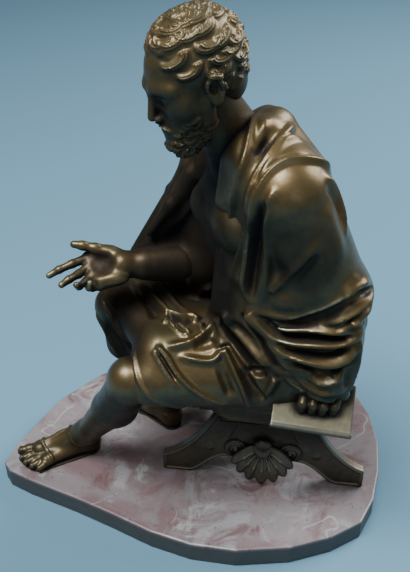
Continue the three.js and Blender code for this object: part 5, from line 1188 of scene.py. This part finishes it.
# round the right knee and shin
fold(3.6, 2.8, [(-64, -6, 152), (-54, -17, 143), (-37, -33, 127)], sharp=0.7, ends=(0.3, 0.2))
fold(4.4, 1.8, [(-60, -9, 152), (-53, -15, 149), (-46, -22, 145)], sharp=0.4)
fold(5, 2.8, [(-66, -8, 142), (-62, -13, 128), (-50, -17, 102)], sharp=0.4)
fold(5, -4.6, [(-44, 2, 156), (-33, -10, 153), (-23, -24, 150), (-20, -36, 144)], sharp=0.1)
fold(3.4, 3.0, [(-36, 2, 156), (-26, -11, 154), (-17, -22, 152), (-12, -34, 150),
     (-13, -44, 145)], sharp=0.8, ends=(0.2, 0.15))
fold(3, -1.4, [(-61, -10, 144), (-54, -18, 128), (-44, -22, 111)], sharp=0.2)
fold(3, 1.8, [(-58, -12, 146), (-49, -20, 130), (-38, -25, 110)], sharp=0.5)
fold(3, 1.6, [(-50, -16, 148), (-40, -25, 132), (-30, -31, 114)], sharp=0.5)
# over the cape on the right arm
fold(5, 2.6, [(14, 2, 262), (6, 0, 240), (-6, -2, 214), (-24, -4, 190)], sharp=0.6)
fold(5, 2.6, [(4, 12, 256), (-4, 10, 234), (-18, 8, 206), (-34, 6, 184)], sharp=0.6)
# plainer folds down the back and the right side
spread(7, 3.4, 5, [(80, -34, 262), (96, -28, 225), (104, -22, 180), (108, -16, 130),
       (106, -12, 96)], [(30, 30, 254), (40, 40, 225), (52, 44, 180), (58, 50, 130),
       (56, 52, 96)], ends=(0.3, 0.05))
spread(6, 3.2, 4, [(20, 34, 246), (18, 30, 210), (14, 28, 176)], [(-4, 28, 244),
       (-18, 20, 208), (-30, 14, 180)])
spread(6, 3, 4, [(40, 50, 140), (20, 46, 126), (-4, 38, 112)], [(16, 22, 158), (-12, 18, 154),
       (-40, 12, 148)])
print("folds laid")


def levelled(field, grid):  # cut level over the seat and over the slab
    x, y, z = grid.axes
    field = np.maximum(field, (slabTop + joinGap - z)[None, None, :])
    low = (seat["left"] - joinGap, seat["near"] - joinGap, slabTop)
    high = (seat["right"] + joinGap, seat["far"] + joinGap, seatTop + joinGap)
    inX = np.maximum(low[0] - x, x - high[0])[:, None, None]
    inY = np.maximum(low[1] - y, y - high[1])[None, :, None]
    inZ = np.maximum(low[2] - z, z - high[2])[None, None, :]
    return np.maximum(field, -np.maximum(np.maximum(inX, inY), inZ)).astype(np.float32)


stoolLook = {
    "middle": 51.2, "thickness": 6.5, "footReach": 71, "farReach": 65,
    "legTop": 32, "legEnd": 31, "archTop": 34.6, "railBottom": 66, "railReach": 31,
    "rimWidth": 2.6, "rimHeight": 0.9,
    "scrollRadius": 8.5, "scrollHeight": 44, "scrollSpread": 19, "scrollRise": 2.4,
    "scrollPitch": 2.7, "eyeRadius": 2.4, "eyeRise": 1.3,
    "rosetteRadius": 3.8, "rosetteHeight": 42, "rosetteSpread": 37, "rosetteRise": 1.5,
    "bandRise": 0.8,
    "mouldings": [(66.5, 68.2, 1.0), (69, 72.5, 2.0), (73.3, 77, 3.0)],  # from, to, how far out
    "palmetteRoot": 51, "palmetteLength": 33, "palmetteLean": 0.2,
    "step": 0.5, "triangles": 190000,
}


def bend(a, b, c, d, count=12):  # a curve from a to d that b and c pull on, without its first point
    t = np.linspace(0, 1, count + 1)[1:, None]
    a, b, c, d = (np.array(p, float) for p in (a, b, c, d))
    curve = (1 - t) ** 3 * a + 3 * (1 - t) ** 2 * t * b + 3 * (1 - t) * t * t * c + t ** 3 * d
    return curve.tolist()


# The half with x above 0, from the seat down to the middle of the arch, and its mirror image
def panelOutline(look, reach):
    floor = slabTop + joinGap
    top, end, arch = seat["low"] + 1, look["legEnd"], look["archTop"]
    corner = (look["legTop"], top)
    half = [list(corner), *bend(corner, (44, 50), (56, 37), (reach, end)), [reach, floor],
            [reach - 20, floor], *bend((reach - 20, floor), (41, 20), (36, arch), (22, arch))]
    return np.array(half + [[-x, z] for x, z in reversed(half)])


def outlineDistance(outline, x, z):  # in the plane of the panel, below 0 inside
    nearest = np.full(np.broadcast(x, z).shape, 1e9)
    inside = np.zeros(nearest.shape, dtype=bool)
    for (ax, az), (bx, bz) in zip(outline, np.roll(outline, -1, axis=0)):
        dx, dz = bx - ax, bz - az
        length2 = dx * dx + dz * dz
        if length2 < 1e-9:
            continue
        t = np.clip(((x - ax) * dx + (z - az) * dz) / length2, 0, 1)
        nearest = np.minimum(nearest, (x - ax - t * dx) ** 2 + (z - az - t * dz) ** 2)
        if az != bz:
            inside ^= ((az > z) != (bz > z)) & (x < ax + (z - az) / (bz - az) * dx)
    return np.where(inside, -1, 1) * np.sqrt(nearest)


def hill(value):  # 1 at 0, falling softly to 0 at 1
    return np.clip(1 - value * value, 0, 1) ** 2


# How far the carving stands out of a panel, over x from the middle and z; only the near one is rich
def panelRelief(look, edge, x, z, rich):
    inner = look["rimWidth"] * 0.6
    rise = look["rimHeight"] * hill((edge + inner) / inner)
    for side in (-1, 1):
        dx, dz = (x - side * look["scrollSpread"]) * side, z - look["scrollHeight"]
        r = np.sqrt(dx * dx + dz * dz)
        disc = look["scrollRise"] * np.clip((look["scrollRadius"] - r) / 1.2, 0, 1)
        if rich:
            winding = r / look["scrollPitch"] + np.arctan2(dz, dx) / (2 * math.pi)
            groove = 0.5 + 0.5 * np.cos(2 * math.pi * winding)
            disc = disc * (0.72 + 0.4 * groove ** 0.7)
        rise = np.maximum(rise, disc + look["eyeRise"] * hill(r / look["eyeRadius"]))
        dx, dz = x - side * look["rosetteSpread"], z - look["rosetteHeight"]
        r = np.sqrt(dx * dx + dz * dz) / look["rosetteRadius"]
        petals = 1
        if rich:
            petals = 1 + 0.35 * np.cos(6 * np.arctan2(dz, dx)) * np.clip(r * 1.6, 0, 1)
        rise = np.maximum(rise, look["rosetteRise"] * hill(r * 0.95) * petals)
        if rich:
            band = np.abs((x * side - 17 - 0.42 * (70 - z)))
            rise = rise + look["bandRise"] * hill(band / 1.4) * np.clip((z - 52) / 4, 0, 1)
    for low, high, height in look["mouldings"]:
        within = (np.clip((z - low) / 0.7, 0, 1) * np.clip((high - z) / 0.7, 0, 1)
                  * (np.abs(x) < look["railReach"]))
        rise = np.maximum(rise, height * within)
    return rise


def stoolField(look, grid):
    d = np.full(grid.size, Clay.far, dtype=np.float32)
    x, y, z = grid.axes
    across, up = (x - look["middle"])[:, None], z[None, :]
    rail = np.maximum(np.abs(across) - look["railReach"],
                      np.maximum(look["railBottom"] - up, up - seat["low"] - 1))
    for out, face, reach in ((-1, seat["near"], look["footReach"]),
                             (1, seat["far"], look["farReach"])):
        edge = np.minimum(outlineDistance(panelOutline(look, reach), across, up), rail)
        relief = panelRelief(look, edge, across, up, out < 0)[:, None, :]
        depth = ((y - face) * out)[None, :, None]
        slab = np.maximum(depth - relief, -depth - look["thickness"])
        panel = -smoothMin(-edge[:, None, :], -slab, 1.2)
        d = np.minimum(d, panel)
    return d


# The parts of the stool that are more than relief: the palmettes, the board and the rail
def stoolClay(look):
    clay = Clay()
    middle = look["middle"]
    for out, face in ((-1, seat["near"]), (1, seat["far"])):
        clay.put(2, egg(vec(middle, face - out, look["palmetteRoot"] - 12), (17, 4.0, 14)))
        rich = out < 0
        count, fan = (7, 0.3) if rich else (3, 0.6)
        leafWidth = 5.4 if rich else 5.8
        root = vec(middle, face + out * 1.5, look["palmetteRoot"])
        for i in sorted(range(count), key=lambda i: -abs(i - (count - 1) / 2)):
            turn = (i - (count - 1) / 2) * fan
            length = look["palmetteLength"] - 6.5 * abs(turn) ** 1.5
            lean = look["palmetteLean"] * (1 - 0.25 * abs(turn))
            way = vec(-math.cos(lean) * math.sin(turn), out * math.sin(lean),
                      -math.cos(lean) * math.cos(turn))
            front = unit(vec(0, out, 0) - (vec(0, out, 0) @ way) * way)
            side = np.cross(way, front)
            lift = 0.7 * (1 - abs(turn))

            def onLeaf(share, height, aside=0.0):
                return root + way * length * share + front * height + side * aside

            clay.put(0.7, egg(onLeaf(0.56, lift), (leafWidth, 3.2, length * 0.44),
                              np.array([side, front, way])))
            if rich:  # its ridge, and a vein on either side
                clay.put(1.0, *chain([(onLeaf(0.30, 3.4 + lift), 0.5),
                                      (onLeaf(0.6, 3.4 + lift), 0.75),
                                      (onLeaf(0.90, 1.9 + lift), 0.4)]))
                for s in (-1, 1):
                    clay.cut(0.8, *chain([(onLeaf(0.32, 4.3 + lift, s * 1.6), 0.5),
                                          (onLeaf(0.6, 4.2 + lift, s * 2.5), 0.8),
                                          (onLeaf(0.88, 2.6 + lift, s * 1.3), 0.5)]))
        clay.put(1.5, egg(root + vec(0, out * 0.8, 0.5), (6, 3.6, 4)))
        if rich:
            groove = [root + vec(x, out * 4.6, -0.6) for x in (-5, 5)]
            clay.cut(0.6, limb(*groove, 0.55))
    low = vec(seat["left"], seat["near"], seat["low"])
    high = vec(seat["right"], seat["far"], seatTop)
    clay.put(0.6, block((high + low) / 2, (high - low) / 2 - 0.8, 0.8))
    clay.put(1, block(vec(middle, (seat["near"] + seat["far"]) / 2, 49), vec(4.2, 33, 4.2), 0.8))
    return clay


# The sheet under the left hand
sheet = Clay()
sheetHalf = vec(sheetLook["halfLength"], sheetLook["width"] / 2, sheetLook["halfThickness"])
sheet.put(0, block(onSheet(0, sheetLook["width"] / 2, 0), sheetHalf, 0.3, onSheet.turn))
sheet.put(1.5, limb(onSheet(-sheetLook["lipReach"], 0.6, 0.2),
                    onSheet(sheetLook["lipReach"], 0.6, 0.2), sheetLook["lipRadius"]))

# The whole cast as one coarse field, which says how deep and how sheltered each point lies, for the
# painted shade in broad hollows, between parts and under the forms
wholeStep = 1.7
whole = Grid(vec(-136, -92, slabTop - 2), vec(120, 66, 356), wholeStep, band=16)
wholeField = stoolField(stoolLook, whole)
for layer in (skin, cloak, headClay, sheet, stoolClay(stoolLook)):
    wholeField = np.minimum(wholeField, layer.fill(whole))
wholeField = np.minimum(wholeField, (whole.axes[2] - slabTop)[None, None, :])
print("whole field")

# Each piece is skinned on a finer grid of its own
cloakGrid = Grid(vec(-75, -92, 70), vec(120, 66, 300), cloakLook["step"], band=3.5)
cloakField = levelled(cloak.fill(cloakGrid), cloakGrid)
cloakPiece = skinField("castCloak", cloakField, cloakGrid, figureMetal, cloakLook["triangles"])
bodyGrid = Grid(vec(-136, -92, 14), vec(112, 40, 306), bareLook["step"], band=2.5)
bodyField = levelled(skin.fill(bodyGrid), bodyGrid)
bodyPiece = skinField("castBody", bodyField, bodyGrid, figureMetal, bareLook["triangles"],
                      hiddenIn=(cloakField, cloakGrid))
headGrid = Grid(onHead(0, 0, 0) - 46, onHead(0, 0, 0) + 42, headLook["step"], band=2.5)
headField = headClay.fill(headGrid)
headPiece = skinField("castHead", headField, headGrid, hairMetal, headLook["triangles"])
sheetGrid = Grid(onSheet(0, 15, 0) - 34, onSheet(0, 15, 0) + 34, sheetLook["step"], band=1.5)
sheetField = sheet.fill(sheetGrid)
sheetPiece = skinField("castSheet", sheetField, sheetGrid, sheetMetal, sheetLook["triangles"])
stoolGrid = Grid(vec(-21, -44, 15), vec(124, 56, 85.5), stoolLook["step"], band=2.5)
stoolWhole = smoothMin(stoolField(stoolLook, stoolGrid), stoolClay(stoolLook).fill(stoolGrid), 0.8)
stoolFloor = (slabTop + joinGap - stoolGrid.axes[2])[None, None, :]
stoolWhole = np.maximum(stoolWhole, stoolFloor).astype(np.float32)
stoolPiece = skinField("castStool", stoolWhole, stoolGrid, stoolMetal, stoolLook["triangles"])
print("pieces skinned")

# Where the figure's cast is dull and dark, partly matte patina and partly painted shade over the
# chest, forearm, cape and knee cloth that lie in shadow: how much, and in which form
dullAndShadePlaces = [
    (1.0, limb(joint["rightElbow"], mix(joint["rightElbow"], joint["rightWrist"], 0.6), 20, 16)),
    (0.8, limb(joint["rightElbow"], mix(joint["rightElbow"], joint["rightWrist"], 0.9), 16, 11)),
    (0.95, egg(onPalm(13, 1, 4), (9, 8, 7), onPalm.turn)),
    (0.6, limb(onPalm(5, 3, 0), onPalm(24, 2, 0), 9, 10)),
    (1.0, web(vec(24, -26, 262), vec(22, -42, 185), vec(0, -4, 190), 18)),
    (1.0, web(vec(14, 0, 240), vec(16, -30, 176), vec(-4, -4, 180), 18)),
    (0.95, web(vec(8, 4, 256), vec(-34, 0, 184), vec(16, 6, 172), 20)),
    (0.9, web(vec(-58, 2, 148), vec(-31, -13, 148), vec(-50, -6, 104), 13)),
    (0.95, web(vec(-46, -2, 142), vec(-22, -50, 136), vec(-50, -8, 106), 16)),
    (0.85, egg(onChest(28, 0, -8), (18, 30, 36), onChest.turn)),
    (0.5, egg(vec(68, -74, 228), (20, 16, 22))),
    (0.3, egg(vec(-98, -28, 26), (34, 26, 16))),
    (0.5, limb(mix(joint["leftKnee"], joint["leftAnkle"], 0.15), joint["leftAnkle"], 20, 16)),
    (0.5, limb(mix(joint["rightKnee"], joint["rightAnkle"], 0.3), joint["rightAnkle"], 20, 20)),
]
castPieces = [
    (cloakPiece, cloakField, cloakGrid, "figure", "bronze", dullAndShadePlaces),
    (bodyPiece, bodyField, bodyGrid, "figure", "bronze", dullAndShadePlaces),
    (headPiece, headField, headGrid, "figure", "bronze", []),
    (sheetPiece, sheetField, sheetGrid, "figure", "bronze", dullAndShadePlaces),
    (stoolPiece, stoolWhole, stoolGrid, "stool", "stool_bronze", []),
]
for piece, field, grid, node, slot, dullAndShadeForms in castPieces:
    markHollowsAndHighPoints(piece, wholeField, whole, {"deepShade": 8.0})
    markHollowsAndHighPoints(piece, field, grid, {"fine": 2.0, "proud": -2.4})
    markSkyShade(piece, wholeField, whole)
    markDullAndShade(piece, dullAndShadeForms)
    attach(piece, "root")
    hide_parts(node)
print("figure and stool done")

# The camera: places and sensor in mm, angles in degrees, focal length and height in pixels
view = {
    "target": vec(10, -26, 175), "azimuth": 7.3, "elevation": 33.9, "distance": 492,
    "focal": 800, "height": 572, "sensor": 36,
}
azimuth = math.radians(view["azimuth"])
elevation = math.radians(view["elevation"])
away = vec(math.sin(azimuth) * math.cos(elevation),
           -math.cos(azimuth) * math.cos(elevation), math.sin(elevation))
eye = Vector((view["target"] + view["distance"] * away) * millimetre)
target = Vector(view["target"] * millimetre)
cameraData = bpy.data.cameras.new("photoView")
cameraData.sensor_fit = "VERTICAL"
cameraData.sensor_height = view["sensor"]
cameraData.lens = view["sensor"] * view["focal"] / view["height"]
camera = bpy.data.objects.new("photoView", cameraData)
camera.location = eye
camera.rotation_euler = (target - eye).to_track_quat("-Z", "Y").to_euler()
bpy.context.collection.objects.link(camera)
bpy.context.scene.camera = camera

# The studio: places and sizes in metres
studio = {
    "floor": rgb(0.148, 0.312, 0.435), "floorReach": 4,
    "sky": rgb(0.90, 0.92, 0.93), "skyStrength": 0.14,
    "lights": [  # name, place, where it aims, size, watts
        ("keyLight", (-0.38, -0.42, 1.45), (0, 0, 0.18), (0.7, 0.7), 27),
        ("fillLight", (0.6, -1.2, 0.8), (0, 0, 0.18), (0.6, 0.6), 1.0),
        ("backLight", (1.0, 0.75, 1.1), (0, 0, 0.2), (1.1, 0.9), 26),
    ],
}
floorCorners = [(x * studio["floorReach"], y * studio["floorReach"], 0)
                for x, y in ((-1, -1), (1, -1), (1, 1), (-1, 1))]
floorMesh = bpy.data.meshes.new("studioFloor")
floorMesh.from_pydata(floorCorners, [], [(0, 1, 2, 3)])
floorObject = bpy.data.objects.new("studioFloor", floorMesh)
bpy.context.collection.objects.link(floorObject)
floorMaterial, floorWire = newMaterial("paperFloor")
finishMaterial(floorWire, floorWire.node("BsdfPrincipled", {}, {
    "Base Color": studio["floor"], "Roughness": 0.9}))
floorMesh.materials.append(floorMaterial)

world = bpy.data.worlds.new("studioAir")
world.use_nodes = True
world.node_tree.nodes["Background"].inputs["Color"].default_value = studio["sky"]
world.node_tree.nodes["Background"].inputs["Strength"].default_value = studio["skyStrength"]
bpy.context.scene.world = world


def softLight(name, place, aim, size, watts):
    data = bpy.data.lights.new(name, "AREA")
    data.shape = "RECTANGLE"
    data.size, data.size_y = size
    data.energy = watts
    light = bpy.data.objects.new(name, data)
    light.location = Vector(place)
    light.rotation_euler = (Vector(aim) - Vector(place)).to_track_quat("-Z", "Y").to_euler()
    bpy.context.collection.objects.link(light)


for light in studio["lights"]:
    softLight(*light)
print("camera and lights")
